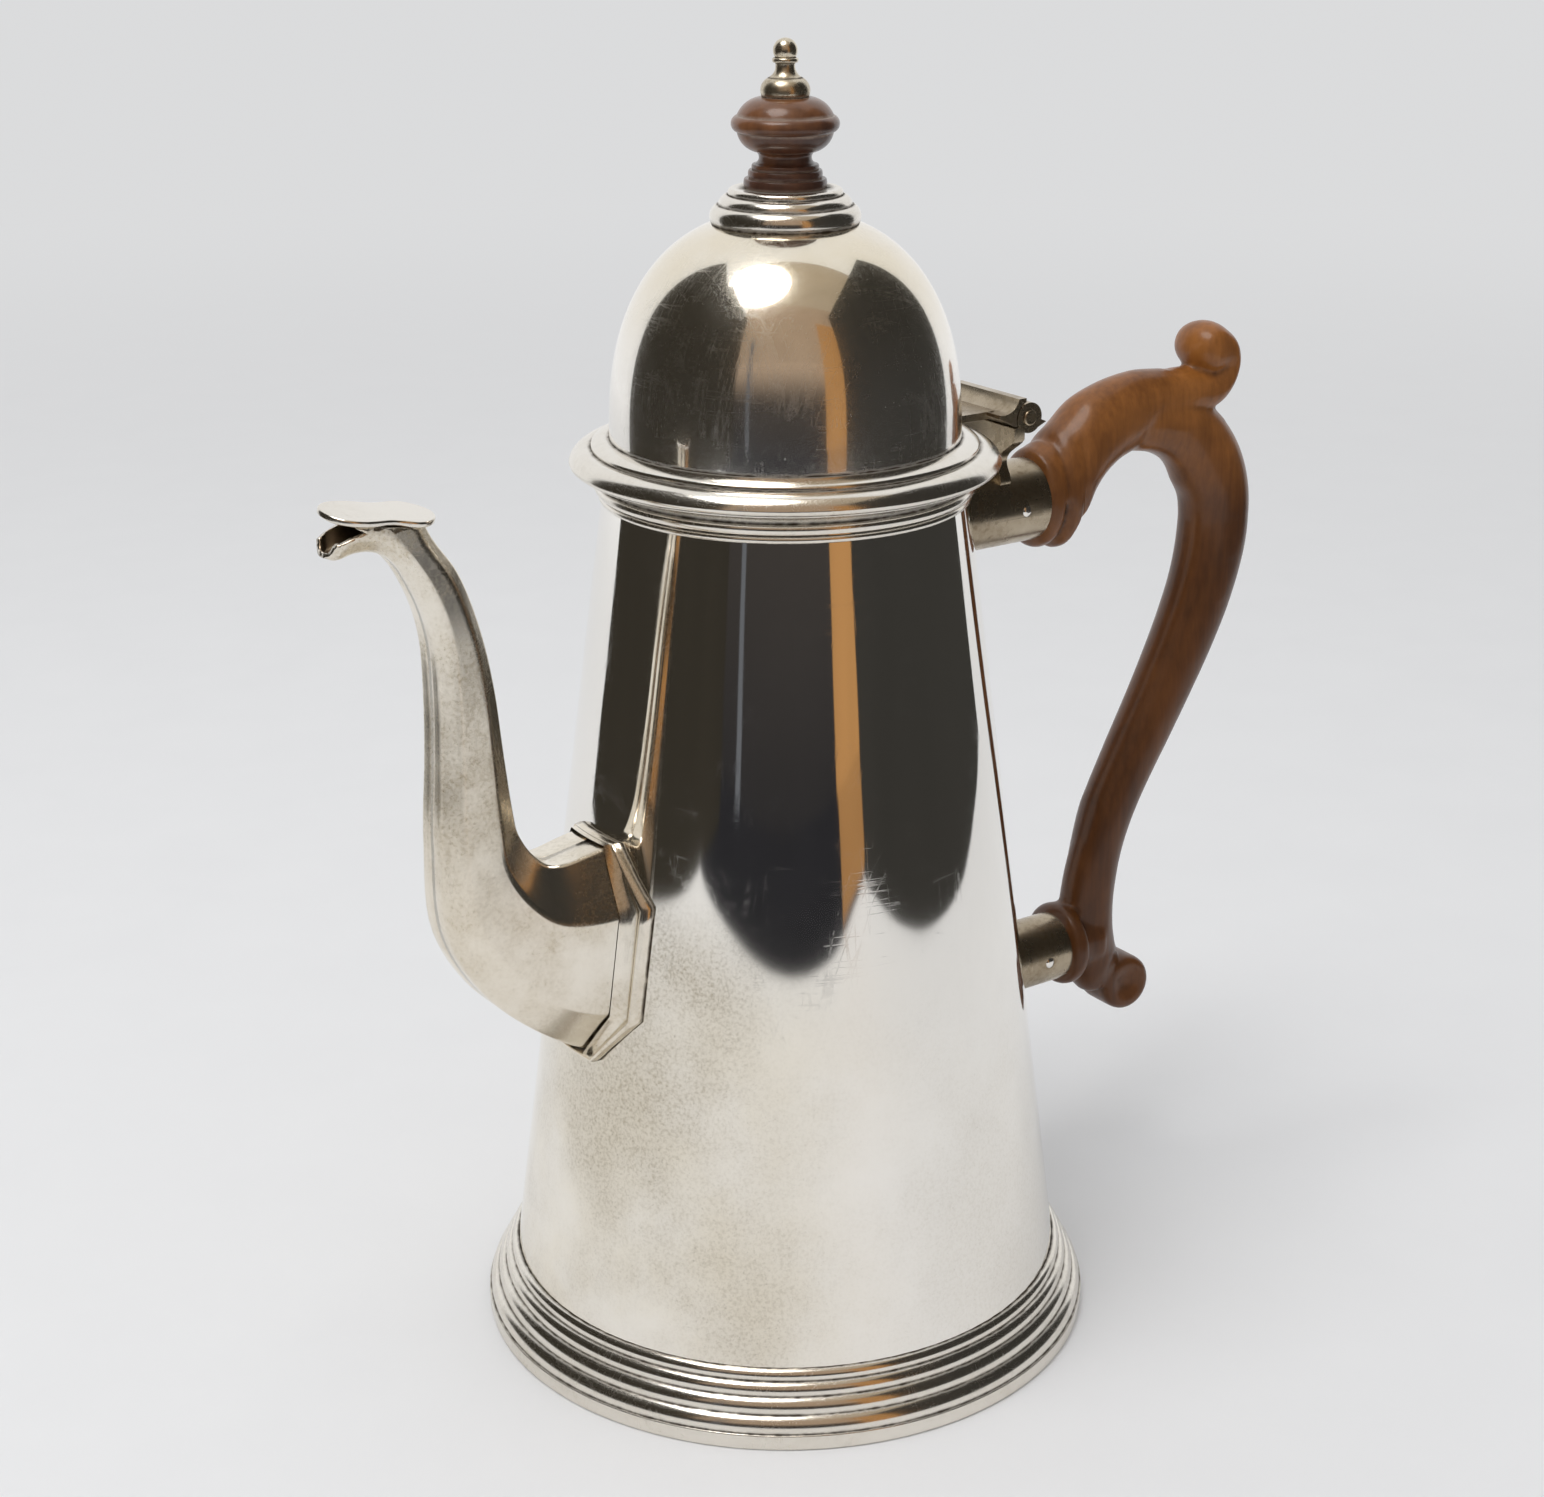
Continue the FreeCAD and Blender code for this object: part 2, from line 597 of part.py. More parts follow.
def hinge_lid_leaf():
    """The leaf on the lid: a tongue on the flange, and a coved plate up to a ridge along the knuckles."""
    half = HINGE_LENGTH / 2
    tongue_top = LID_SHELF_Z + LID_TONGUE_THICKNESS
    ridge_top = HINGE_Z + LID_RIDGE_HEIGHT
    ridge_back = HINGE_X - LID_RIDGE_BACK
    edge_x = HINGE_X - LID_LEAF_REACH
    under_z = HINGE_Z - LID_LEAF_UNDERCUT
    outline = Outline(edge_x, LID_SHELF_Z + LID_TONGUE_THICKNESS / 2)
    outline.line(HINGE_X - LID_LEAF_UNDERCUT_REACH, under_z)
    outline.line(ridge_back - LID_RIDGE_BACK, under_z)
    outline.line(ridge_back, HINGE_Z)
    outline.line(ridge_back, ridge_top)
    outline.line(ridge_back - LID_RIDGE_THICKNESS, ridge_top)
    outline.swell(edge_x, tongue_top, -LID_LEAF_COVE)
    leaf = across(outline, -half, half)
    tongue = Outline(0, LID_SHELF_Z)
    tongue.line(HINGE_X - LID_LEAF_UNDERCUT_REACH, LID_SHELF_Z)
    tongue.line(HINGE_X - LID_LEAF_UNDERCUT_REACH, tongue_top)
    tongue.line(0, tongue_top)
    tongue = across(tongue, -LID_TONGUE_HALF_WIDTH, LID_TONGUE_HALF_WIDTH)
    leaf = leaf.fuse(tongue.cut(Part.makeCylinder(STEP_RADIUS + SOLDER, FAR)))
    leaf = leaf.cut(knuckle_room(BODY_KNUCKLES))
    leaf = leaf.fuse(knuckles(LID_KNUCKLES))
    return leaf.cut(rod_y(HINGE_BORE, HINGE_X, HINGE_Z, HINGE_LENGTH)).removeSplitter()


def hinge_body_leaf():
    """The bracket that stands on the upper socket and carries the other knuckles."""
    half = HINGE_LENGTH / 2
    foot = BRACKET_FOOT_HALF_WIDTH
    top = HINGE_Z - LID_LEAF_UNDERCUT - LEAF_PLAY
    shoulder_z = HINGE_Z - BRACKET_SHOULDER
    foot_z = UPPER_SOCKET_Z + math.sqrt(UPPER_SOCKET_RADIUS ** 2 - foot ** 2)
    outline = Outline(half, top)
    outline.line(-half, top)
    outline.line(-half, shoulder_z)
    outline.swell(-foot, foot_z, BRACKET_WAIST)
    outline.line(foot, foot_z)
    outline.swell(half, shoulder_z, BRACKET_WAIST)
    bracket = across(outline, -BRACKET_THICKNESS / 2, BRACKET_THICKNESS / 2)
    bracket.rotate(Vector(0, 0, 0), UP, 90)
    bracket.translate(ALONG_X * (HINGE_X - BRACKET_SETBACK))
    bracket = bracket.cut(knuckle_room(LID_KNUCKLES))
    bracket = bracket.cut(
        Part.makeCylinder(UPPER_SOCKET_RADIUS + SOLDER, FAR, Vector(0, 0, UPPER_SOCKET_Z), ALONG_X)
    )
    bracket = bracket.fuse(knuckles(BODY_KNUCKLES))
    tab_x = HINGE_X + KNUCKLE_RADIUS + STOP_TAB_PROUD
    tab_root = HINGE_X + KNUCKLE_RADIUS / 2
    tab = Outline(tab_root, HINGE_Z)
    tab.line(tab_x, HINGE_Z - STOP_TAB_HEIGHT / 2)
    tab.line(tab_root, HINGE_Z - STOP_TAB_HEIGHT)
    tab = across(tab, -half, half)
    for index in (BODY_KNUCKLES[0], BODY_KNUCKLES[-1]):
        bracket = bracket.fuse(tab.common(barrel(index, 2 * KNUCKLE_RADIUS, -KNUCKLE_GAP / 2)))
    return bracket.cut(rod_y(HINGE_BORE, HINGE_X, HINGE_Z, HINGE_LENGTH)).removeSplitter()


def hinge_pin():
    """The pin through all the knuckles."""
    return rod_y(HINGE_PIN_RADIUS, HINGE_X, HINGE_Z, HINGE_LENGTH / 2 + HINGE_PIN_PROUD)


# Handle


def socket(radius, z, end):
    """A silver tube from the cone out to the wood, drilled for its pin."""
    tube = Part.makeCylinder(radius, end, Vector(0, 0, z), ALONG_X)
    tube = tube.cut(Part.makeCylinder(radius - WALL, FAR, Vector(0, 0, z), ALONG_X))
    tube = tube.cut(cone_solid(SOLDER, 0, BODY_HEIGHT))
    return tube.cut(rod_y(SOCKET_PIN_RADIUS + PIN_PLAY, end - SOCKET_PIN_SETBACK, z, 2 * radius))


def socket_pin(radius, z, end):
    """The pin through a socket and the tenon in it."""
    return rod_y(SOCKET_PIN_RADIUS, end - SOCKET_PIN_SETBACK, z, radius + SOCKET_PIN_PROUD)


def limb(stations):
    """A bent wooden limb of oval section in the plane y = 0, through (x, z, half depth) stations."""
    wires = []
    last = len(stations) - 1
    for i, (x, z, depth) in enumerate(stations):
        before = stations[max(i - 1, 0)]
        after = stations[min(i + 1, last)]
        along = Vector(after[0] - before[0], 0, after[1] - before[1]).normalize()
        middle = Vector(x, 0, z)
        side = Vector(along.z, 0, -along.x) * depth
        oval = Part.Ellipse(middle + side, middle + ALONG_Y * (depth * WOOD_FLATNESS), middle)
        wires.append(Part.Wire(oval.toShape()))
    return Part.makeLoft(wires, True, False)


def scroll(x, z, radius):
    """The rounded roll at the end of a limb, its axis along Y."""
    roll = rod_y(radius, x, z, SCROLL_HALF_WIDTH)
    rims = [edge for edge in roll.Edges if isinstance(edge.Curve, Part.Circle)]
    return roll.makeFillet(SCROLL_ROUND, rims)


def collars(sizes, radius, z, end):
    """Carved oval beads side by side along X, from a socket's end outwards."""
    solids = []
    for tall, wide, length in sizes:
        middle = Vector(end, 0, z)
        if tall == wide:
            rim = Part.Circle(middle, ALONG_X, radius + tall)
        else:
            rim = Part.Ellipse(middle + UP * (radius + tall), middle + ALONG_Y * (radius + wide), middle)
        bead = Part.Face(Part.Wire(rim.toShape())).extrude(ALONG_X * length)
        rims = [edge for edge in bead.Edges if len(edge.Vertexes) == 1]
        solids.append(bead.makeFillet(COLLAR_ROUND, rims))
        end += length
    return solids


def tenon(radius, z, end):
    """The round peg of the handle inside a socket, on into the collars."""
    length = TENON_LENGTH + 2 * COLLAR_ROUND
    return Part.makeCylinder(radius - WALL - TENON_PLAY, length, Vector(end - TENON_LENGTH, 0, z), ALONG_X)


def handle():
    """The fruitwood handle in one piece."""
    upper = Vector(UPPER_SOCKET_END, 0, UPPER_SOCKET_Z)
    lower = Vector(LOWER_SOCKET_END, 0, LOWER_SOCKET_Z)
    arm = limb([(upper.x + out, upper.z + rise, depth) for out, rise, depth in ARM])
    arm = arm.cut(Part.makeBox(upper.x, FAR, FAR, Vector(0, -FAR / 2, 0)))
    loop = []
    for share, (out, depth) in zip(LOOP_DROP_SHARES, LOOP):
        place = upper + (lower - upper) * share
        loop.append((place.x + out, place.z, depth))
    stub_length = loop[-2][0] - lower.x
    solids = [limb(loop), Part.makeCylinder(LOWER_SOCKET_RADIUS - WALL, stub_length, lower, ALONG_X)]
    solids.append(scroll(upper.x + THUMB_SCROLL_OUT, upper.z + THUMB_SCROLL_UP, THUMB_SCROLL_RADIUS))
    solids.append(scroll(lower.x + FOOT_SCROLL_OUT, lower.z - FOOT_SCROLL_DOWN, FOOT_SCROLL_RADIUS))
    for seat, sizes in ((UPPER_SOCKET, UPPER_COLLARS), (LOWER_SOCKET, LOWER_COLLARS)):
        solids += collars(sizes, *seat)
        solids.append(tenon(*seat))
    wood = arm.multiFuse(solids)
    for radius, z, end in (UPPER_SOCKET, LOWER_SOCKET):
        wood = wood.cut(rod_y(SOCKET_PIN_RADIUS + PIN_PLAY, end - SOCKET_PIN_SETBACK, z, 2 * radius))
    return wood.removeSplitter()


# Spout


def spout_solid(grow):
    """The swan neck as a solid through its octagonal sections, with each section grown all round."""
    corner_share = math.tan(math.radians(22.5))
    wires = []
    for station in map(Station._make, SPOUT_STATIONS):
        front = Vector(-SPOUT_ROOT - station.front_out, 0, SPOUT_Z + station.front_up)
        back = Vector(-SPOUT_ROOT - station.back_out, 0, SPOUT_Z + station.back_up)
        span = back - front
        along = Vector(span).normalize() * grow
        rows = (
            (front - along, station.front_half + corner_share * grow),
            (front + span * SPOUT_SIDE_START, station.half + grow),
            (front + span * SPOUT_SIDE_END, station.half + grow),
            (back + along, station.back_half + corner_share * grow),
        )
        wires.append(mirrored_section(rows))
    return Part.makeLoft(wires, True, False)


def plate_point(run, half=0.0, drop=0.0):
    """A point of the lip plate: along it from its rear tip, out to one side, and down through it."""
    tilt = math.radians(PLATE_TILT)
    x = -SPOUT_ROOT - PLATE_TIP_OUT - run * math.cos(tilt) - drop * math.sin(tilt)
    z = SPOUT_Z + PLATE_TIP_UP + run * math.sin(tilt) - drop * math.cos(tilt)
    return Vector(x, half, z)


def above_plate():
    """All the space above the underside of the lip plate."""
    corners = [plate_point(run, half, PLATE_THICKNESS) for run, half in
               ((-FAR, -FAR), (FAR, -FAR), (FAR, FAR), (-FAR, FAR), (-FAR, -FAR))]
    return Part.Face(Part.makePolygon(corners)).extrude(plate_point(0, 0, -FAR) - plate_point(0))


def spout_shell():
    """The hollow neck, fitted to the cone, cut level under the plate and open at the beak."""
    shell = spout_solid(0).cut(spout_solid(-SPOUT_WALL))
    shell = shell.cut(cone_solid(SOLDER, 0, BODY_HEIGHT))
    shell = shell.cut(above_plate())
    notch_x = -SPOUT_ROOT - NOTCH_OUT
    notch_z = SPOUT_Z + NOTCH_UP
    mouth = Outline(notch_x, notch_z)
    mouth.line(notch_x - PLATE_LENGTH, notch_z + NOTCH_RISE * PLATE_LENGTH)
    mouth.line(notch_x - PLATE_LENGTH, notch_z - LIP_FALL * PLATE_LENGTH)
    return shell.cut(across(mouth, -BORDER_HALF_WIDTH, BORDER_HALF_WIDTH))


def beside(side):
    """All the space on one side of the plane y = 0."""
    return Part.makeBox(2 * FAR, FAR, 2 * FAR, Vector(-FAR, min(side, 0) * FAR, -FAR))


def border_bar(inset, end_inset):
    """The octagon of the spout's border, drawn in at its sides and its ends, as a bar along X."""
    half = BORDER_HALF_WIDTH - inset
    end_half = BORDER_END_HALF_WIDTH - inset / 2
    rows = (
        (Vector(-FAR, 0, BORDER_TOP_Z - end_inset), end_half),
        (Vector(-FAR, 0, SPOUT_Z + BORDER_SIDE_UP), half),
        (Vector(-FAR, 0, SPOUT_Z - BORDER_SIDE_DOWN), half),
        (Vector(-FAR, 0, BORDER_BOTTOM_Z + end_inset), end_half),
    )
    return Part.Face(mirrored_section(rows)).extrude(ALONG_X * FAR)


def spout_base_flange():
    """The octagonal border soldered round the foot of the spout."""
    lip = cone_solid(SOLDER + BORDER_THICKNESS, 0, BODY_HEIGHT).common(border_bar(0, 0))
    rib = cone_solid(SOLDER + BORDER_THICKNESS + BORDER_RIB, 0, BODY_HEIGHT)
    rib = rib.common(border_bar(BORDER_RIB_INSET, BORDER_RIB_END_INSET))
    border = lip.fuse(rib).cut(cone_solid(SOLDER, 0, BODY_HEIGHT))
    return border.cut(spout_solid(SOLDER)).removeSplitter()


def spout_lip_plate():
    """The fiddle-shaped plate that covers the beak."""
    runs = (PLATE_REAR, PLATE_WAIST, PLATE_FRONT)
    forwards = (plate_point(PLATE_LENGTH) - plate_point(0)).normalize() * PLATE_TIP_POINT
    edges = []
    for side in (-1, 1):
        points = [plate_point(0)] + [plate_point(run, side * half) for run, half in runs]
        points.append(plate_point(PLATE_LENGTH))
        start = (forwards + ALONG_Y * side) * PLATE_END_FULLNESS
        finish = ALONG_Y * (-side * PLATE_END_FULLNESS)
        spline = Part.BSplineCurve()
        spline.interpolate(Points=points, InitialTangent=start, FinalTangent=finish)
        edges.append(spline.toShape())
    return Part.Face(Part.Wire(Part.__sortEdges__(edges))).extrude(
        plate_point(0, 0, PLATE_THICKNESS) - plate_point(0)
    )


def build():
    """Every piece of the pot by name."""
    shell = spout_shell()
    return {
        "body_cone": body_cone(),
        "base_disc": base_disc(),
        "foot_moulding": foot_moulding(),
        "rim_wire": rim_wire(),
        "rim_moulding": rim_moulding(),
        "lid_flange": lid_flange(),
        "lid_step_ring": lid_step_ring(),
        "lid_dome": lid_dome(),
        "lid_bezel": lid_bezel(),
        "finial_collar": finial_collar(),
        "finial_knop": finial_knop(),
        "finial_cap": finial_cap(),
        "finial_stud": finial_stud(),
        "finial_washer": finial_washer(),
        "finial_nut": finial_nut(),
        "hinge_lid_leaf": hinge_lid_leaf(),
        "hinge_body_leaf": hinge_body_leaf(),
        "hinge_pin": hinge_pin(),
        "upper_socket": socket(*UPPER_SOCKET),
        "lower_socket": socket(*LOWER_SOCKET),
        "upper_socket_pin": socket_pin(*UPPER_SOCKET),
        "lower_socket_pin": socket_pin(*LOWER_SOCKET),
        "handle": handle(),
        "spout_left_half": shell.common(beside(-1)),
        "spout_right_half": shell.common(beside(1)),
        "spout_base_flange": spout_base_flange(),
        "spout_lip_plate": spout_lip_plate(),
    }


os.makedirs("parts", exist_ok=True)
for node, shape in build().items():
    shape.exportStep(os.path.join("parts", node + ".step"))
    state = "valid" if shape.isValid() else "NOT VALID"
    print(node, len(shape.Solids), state, round(shape.Volume, 1), "mm3")
print("hinge axis x %.3f z %.3f" % (HINGE_X, HINGE_Z))
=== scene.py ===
# A silver coffee pot with a faceted spout, a hinged domed lid and a fruitwood handle.
# Metres, z up along the pot's axis, spout towards -X, handle towards +X.
# Sizes of the pot's own classes are millimetres, as a maker would note them.
# Sizes of the finishes and the studio are metres, as Blender takes them.

import logging
import math
from dataclasses import dataclass, field
from enum import Enum
from typing import Callable, Optional, Sequence, Union

import bmesh
import bpy
from mathutils import Matrix, Vector


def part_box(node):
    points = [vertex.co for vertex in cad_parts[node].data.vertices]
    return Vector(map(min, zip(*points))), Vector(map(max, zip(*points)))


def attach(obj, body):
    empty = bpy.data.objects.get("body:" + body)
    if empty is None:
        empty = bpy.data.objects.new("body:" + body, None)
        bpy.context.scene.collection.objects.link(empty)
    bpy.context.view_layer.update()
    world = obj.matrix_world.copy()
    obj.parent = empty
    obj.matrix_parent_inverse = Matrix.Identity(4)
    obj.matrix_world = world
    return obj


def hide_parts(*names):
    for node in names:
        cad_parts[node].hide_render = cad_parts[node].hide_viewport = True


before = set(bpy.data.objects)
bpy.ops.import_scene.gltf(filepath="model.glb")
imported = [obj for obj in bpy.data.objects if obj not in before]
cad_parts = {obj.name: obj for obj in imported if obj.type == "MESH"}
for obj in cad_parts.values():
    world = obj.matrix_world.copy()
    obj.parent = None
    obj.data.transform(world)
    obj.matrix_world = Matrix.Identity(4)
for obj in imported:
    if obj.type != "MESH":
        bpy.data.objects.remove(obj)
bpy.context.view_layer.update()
MM = 0.001
LOG = logging.getLogger("coffee_pot")

Socket = bpy.types.NodeSocket
Node = bpy.types.Node
NodeTree = bpy.types.NodeTree
Material = bpy.types.Material
Piece = bpy.types.Object
Mesh = bmesh.types.BMesh
Setting = Union[Socket, float, tuple]
Pair = tuple[float, float]
Triple = tuple[float, float, float]
Row = tuple[float, float, float, float]
Colour = Triple

# The direction across the pot from the spout's side to the handle's, and the near side of the spout's root
ACROSS: Triple = (0.82, -0.57, 0.0)
SPOUT_ROOT: Triple = (-0.045, -0.014, 0.074)


class Body(Enum):
    """The two bodies of the frame."""

    POT = "pot"
    LID = "lid"


class Stock(Enum):
    """The material slots that the pieces are made from."""

    SILVER = "silver"
    WOOD = "fruitwood"


# Shader building


class Bench:
    """Places and wires the nodes of one tree."""

    def __init__(self, tree: NodeTree) -> None:
        """Takes a tree to work on."""
        self.tree = tree

    def add(self, kind: str, inputs: dict[Union[str, int], Setting], **settings: object) -> Node:
        """Adds a node, sets it up, and wires or fills its inputs.

        Args:
            kind: Blender's name of the node type.
            inputs: for each input a socket to wire from or a plain value.
            settings: the node's own options.

        Returns:
            The new node.
        """
        node = self.tree.nodes.new(kind)
        for option, value in settings.items():
            setattr(node, option, value)
        self.wire(node, inputs)
        return node

    def wire(self, node: Node, inputs: dict[Union[str, int], Setting]) -> None:
        """Wires or fills the inputs of a node that is already there.

        Args:
            node: the node to set.
            inputs: for each input a socket to wire from or a plain value.
        """
        for name, value in inputs.items():
            if isinstance(value, Socket):
                self.tree.links.new(value, node.inputs[name])
            else:
                node.inputs[name].default_value = value

    def group(self, tree: NodeTree, **inputs: Setting) -> bpy.types.NodeOutputs:
        """Places a shared effect with its inputs and returns its outputs."""
        return self.add("ShaderNodeGroup", inputs, node_tree=tree).outputs

    def place(self) -> Socket:
        """The place on the object."""
        return self.add("ShaderNodeTexCoord", {}).outputs["Object"]

    def height(self, place: Socket) -> Socket:
        """The height of a place."""
        return self.add("ShaderNodeSeparateXYZ", {0: place}).outputs["Z"]

    def groove(self) -> Socket:
        """How deep a point lies in a groove, as noted on the mesh."""
        return self.add("ShaderNodeAttribute", {}, attribute_name="groove").outputs["Fac"]

    def measure(self, operation: str, first: Setting, second: Triple = (0.0, 0.0, 0.0)) -> Socket:
        """Adds a Vector Math node and returns the number that it gives."""
        return self.add("ShaderNodeVectorMath", {0: first, 1: second}, operation=operation).outputs["Value"]

    def show(self, shader: Node) -> None:
        """Makes a shader the one that the surface shows."""
        self.wire(self.tree.nodes["Material Output"], {"Surface": shader.outputs[0]})

    def sum(self, operation: str, first: Setting, second: Setting = 0.0, third: Setting = 0.0) -> Socket:
        """Adds a Math node and returns its result."""
        inputs = {0: first, 1: second, 2: third}
        return self.add("ShaderNodeMath", inputs, operation=operation).outputs[0]

    def ramp(self, value: Setting, low: float, high: float, start: float = 0.0, end: float = 1.0) -> Socket:
        """Maps a range smoothly onto another and returns the result."""
        inputs = {"Value": value, "From Min": low, "From Max": high, "To Min": start, "To Max": end}
        return self.add("ShaderNodeMapRange", inputs, interpolation_type="SMOOTHSTEP").outputs[0]

    def noise(self, place: Setting, scale: Setting, detail: float = 4.0, rough: float = 0.55) -> Socket:
        """Adds a Noise Texture and returns its value."""
        inputs = {"Vector": place, "Scale": scale, "Detail": detail, "Roughness": rough}
        return self.add("ShaderNodeTexNoise", inputs).outputs["Fac"]

    def mapped(self, place: Setting, scale: tuple, turn: tuple = (0.0, 0.0, 0.0)) -> Socket:
        """Turns and stretches coordinates and returns them."""
        inputs = {"Vector": place, "Scale": scale, "Rotation": turn}
        return self.add("ShaderNodeMapping", inputs).outputs[0]

    def blend(self, share: Setting, first: Setting, second: Setting) -> Socket:
        """Mixes two colours and returns the result."""
        node = self.add("ShaderNodeMix", {0: share, 6: first, 7: second}, data_type="RGBA")
        return node.outputs[2]


def start_material(name: str) -> tuple[Material, Bench, Node]:
    """Starts a material.

    Args:
        name: the material's name.

    Returns:
        The material, a bench for its nodes, and its shader.
    """
    material = bpy.data.materials.new(name)
    material.use_nodes = True
    return material, Bench(material.node_tree), material.node_tree.nodes["Principled BSDF"]


class GroupMaker:
    """Builds the shader node groups that the finishes share."""

    def __init__(self, name: str, inputs: Sequence[tuple[str, str, float]], outputs: Sequence[str]) -> None:
        """Starts a group.

        Args:
            name: the group's name.
            inputs: name, kind ("Float" or "Vector") and default of each input.
            outputs: name of each value that it puts out.
        """
        self.tree = bpy.data.node_groups.new(name, "ShaderNodeTree")
        for title, kind, default in inputs:
            socket = self.tree.interface.new_socket(title, in_out="INPUT", socket_type=f"NodeSocket{kind}")
            if kind == "Float":
                socket.default_value = default
        for title in outputs:
            self.tree.interface.new_socket(title, in_out="OUTPUT", socket_type="NodeSocketFloat")
        self.bench = Bench(self.tree)
        self.entry = self.bench.add("NodeGroupInput", {}).outputs

    def close(self, **results: Socket) -> NodeTree:
        """Wires the results to the group's outputs and returns the group."""
        self.bench.add("NodeGroupOutput", results)
        return self.tree


class SharedEffects:
    """The effects that more than one finish uses, each built once."""

    def __init__(self) -> None:
        """Builds every group."""
        self.tarnish = self.make_tarnish()
        self.scratches = self.make_scratches()
        self.planishing = self.make_planishing()
        self.groove_dirt_and_shade = self.make_groove_dirt_and_shade()

    @staticmethod
    def make_tarnish() -> NodeTree:
        """Cloudy patches with fine specks in them, as left by polish and moisture.

        Returns:
            The node group.
        """
        maker = GroupMaker(
            "Tarnish bloom",
            (
                ("Place", "Vector", 0), ("Patch", "Float", 30), ("Speck", "Float", 700), ("Amount", "Float", 1),
                ("Cover", "Float", 0),
            ),
            ("Mask", "Specks"),
        )
        bench, entry = maker.bench, maker.entry
        drift = bench.sum("ADD", bench.noise(entry["Place"], entry["Patch"], 5.0, 0.6), entry["Cover"])
        patch = bench.ramp(drift, 0.36, 0.74)
        speck = bench.ramp(bench.noise(entry["Place"], entry["Speck"], 8.0, 0.7), 0.42, 0.68)
        cloud = bench.sum("MULTIPLY", patch, bench.sum("MULTIPLY_ADD", speck, 0.55, 0.45))
        mask = bench.sum("MULTIPLY", cloud, entry["Amount"])
        grain = bench.noise(entry["Place"], bench.sum("MULTIPLY", entry["Speck"], 1.7), 4.0, 0.6)
        fine = bench.sum("MULTIPLY", bench.ramp(grain, 0.60, 0.72), cloud)
        return maker.close(Mask=mask, Specks=bench.sum("MULTIPLY", fine, entry["Amount"]))

    @staticmethod
    def make_scratches() -> NodeTree:
        """Hairlines of a polishing cloth, long and broken, in four directions.

        Returns:
            The node group.
        """
        maker = GroupMaker(
            "Polishing hairlines",
            (("Place", "Vector", 0), ("Fineness", "Float", 1), ("Amount", "Float", 1)),
            ("Height", "Mask"),
        )
        bench, entry = maker.bench, maker.entry
        total = None
        for turn, stretch in (
            ((0.0, 0.0, 0.1), (16.0, 16.0, 420.0)),
            ((0.7, 0.3, 0.0), (14.0, 380.0, 12.0)),
            ((0.2, -0.8, 0.5), (360.0, 13.0, 16.0)),
            ((-0.5, 0.4, 0.9), (15.0, 400.0, 13.0)),
        ):
            grain = bench.noise(bench.mapped(entry["Place"], stretch, turn), entry["Fineness"], 2.0, 0.5)
            offset = bench.sum("ABSOLUTE", bench.sum("SUBTRACT", grain, 0.5))
            line = bench.ramp(offset, 0.0, 0.018, 1.0, 0.0)
            total = line if total is None else bench.sum("MAXIMUM", total, line)
        broken = bench.ramp(bench.noise(entry["Place"], 70.0, 5.0, 0.75), 0.48, 0.62)
        mask = bench.sum("MULTIPLY", bench.sum("MULTIPLY", total, broken), entry["Amount"])
        return maker.close(Height=bench.sum("MULTIPLY", mask, -1.0), Mask=mask)

    @staticmethod
    def make_planishing() -> NodeTree:
        """The slow waviness of sheet metal raised by hand.

        Returns:
            The node group.
        """
        maker = GroupMaker(
            "Hand planishing",
            (("Place", "Vector", 0), ("Scale", "Float", 30), ("Amount", "Float", 1)),
            ("Height",),
        )
        bench, entry = maker.bench, maker.entry
        wave = bench.noise(entry["Place"], entry["Scale"], 1.5, 0.4)
        return maker.close(Height=bench.sum("MULTIPLY", wave, entry["Amount"]))

    @staticmethod
    def make_groove_dirt_and_shade() -> NodeTree:
        """Old polish and dirt that stay behind in grooves and corners, with painted shade in the same places.

        Returns:
            The node group.
        """
        maker = GroupMaker(
            "Groove dirt and painted shade",
            (("Place", "Vector", 0), ("Groove", "Float", 0), ("Amount", "Float", 1)),
            ("Mask",),
        )
        bench, entry = maker.bench, maker.entry
        # painted shade with dirt: the deeper the groove, the darker the mark
        uneven = bench.ramp(bench.noise(entry["Place"], 420.0, 5.0, 0.65), 0.25, 0.75, 0.45, 1.15)
        depth = bench.sum("MULTIPLY", bench.sum("MULTIPLY", entry["Groove"], uneven), entry["Amount"])
        return maker.close(Mask=bench.ramp(depth, 0.05, 0.85))


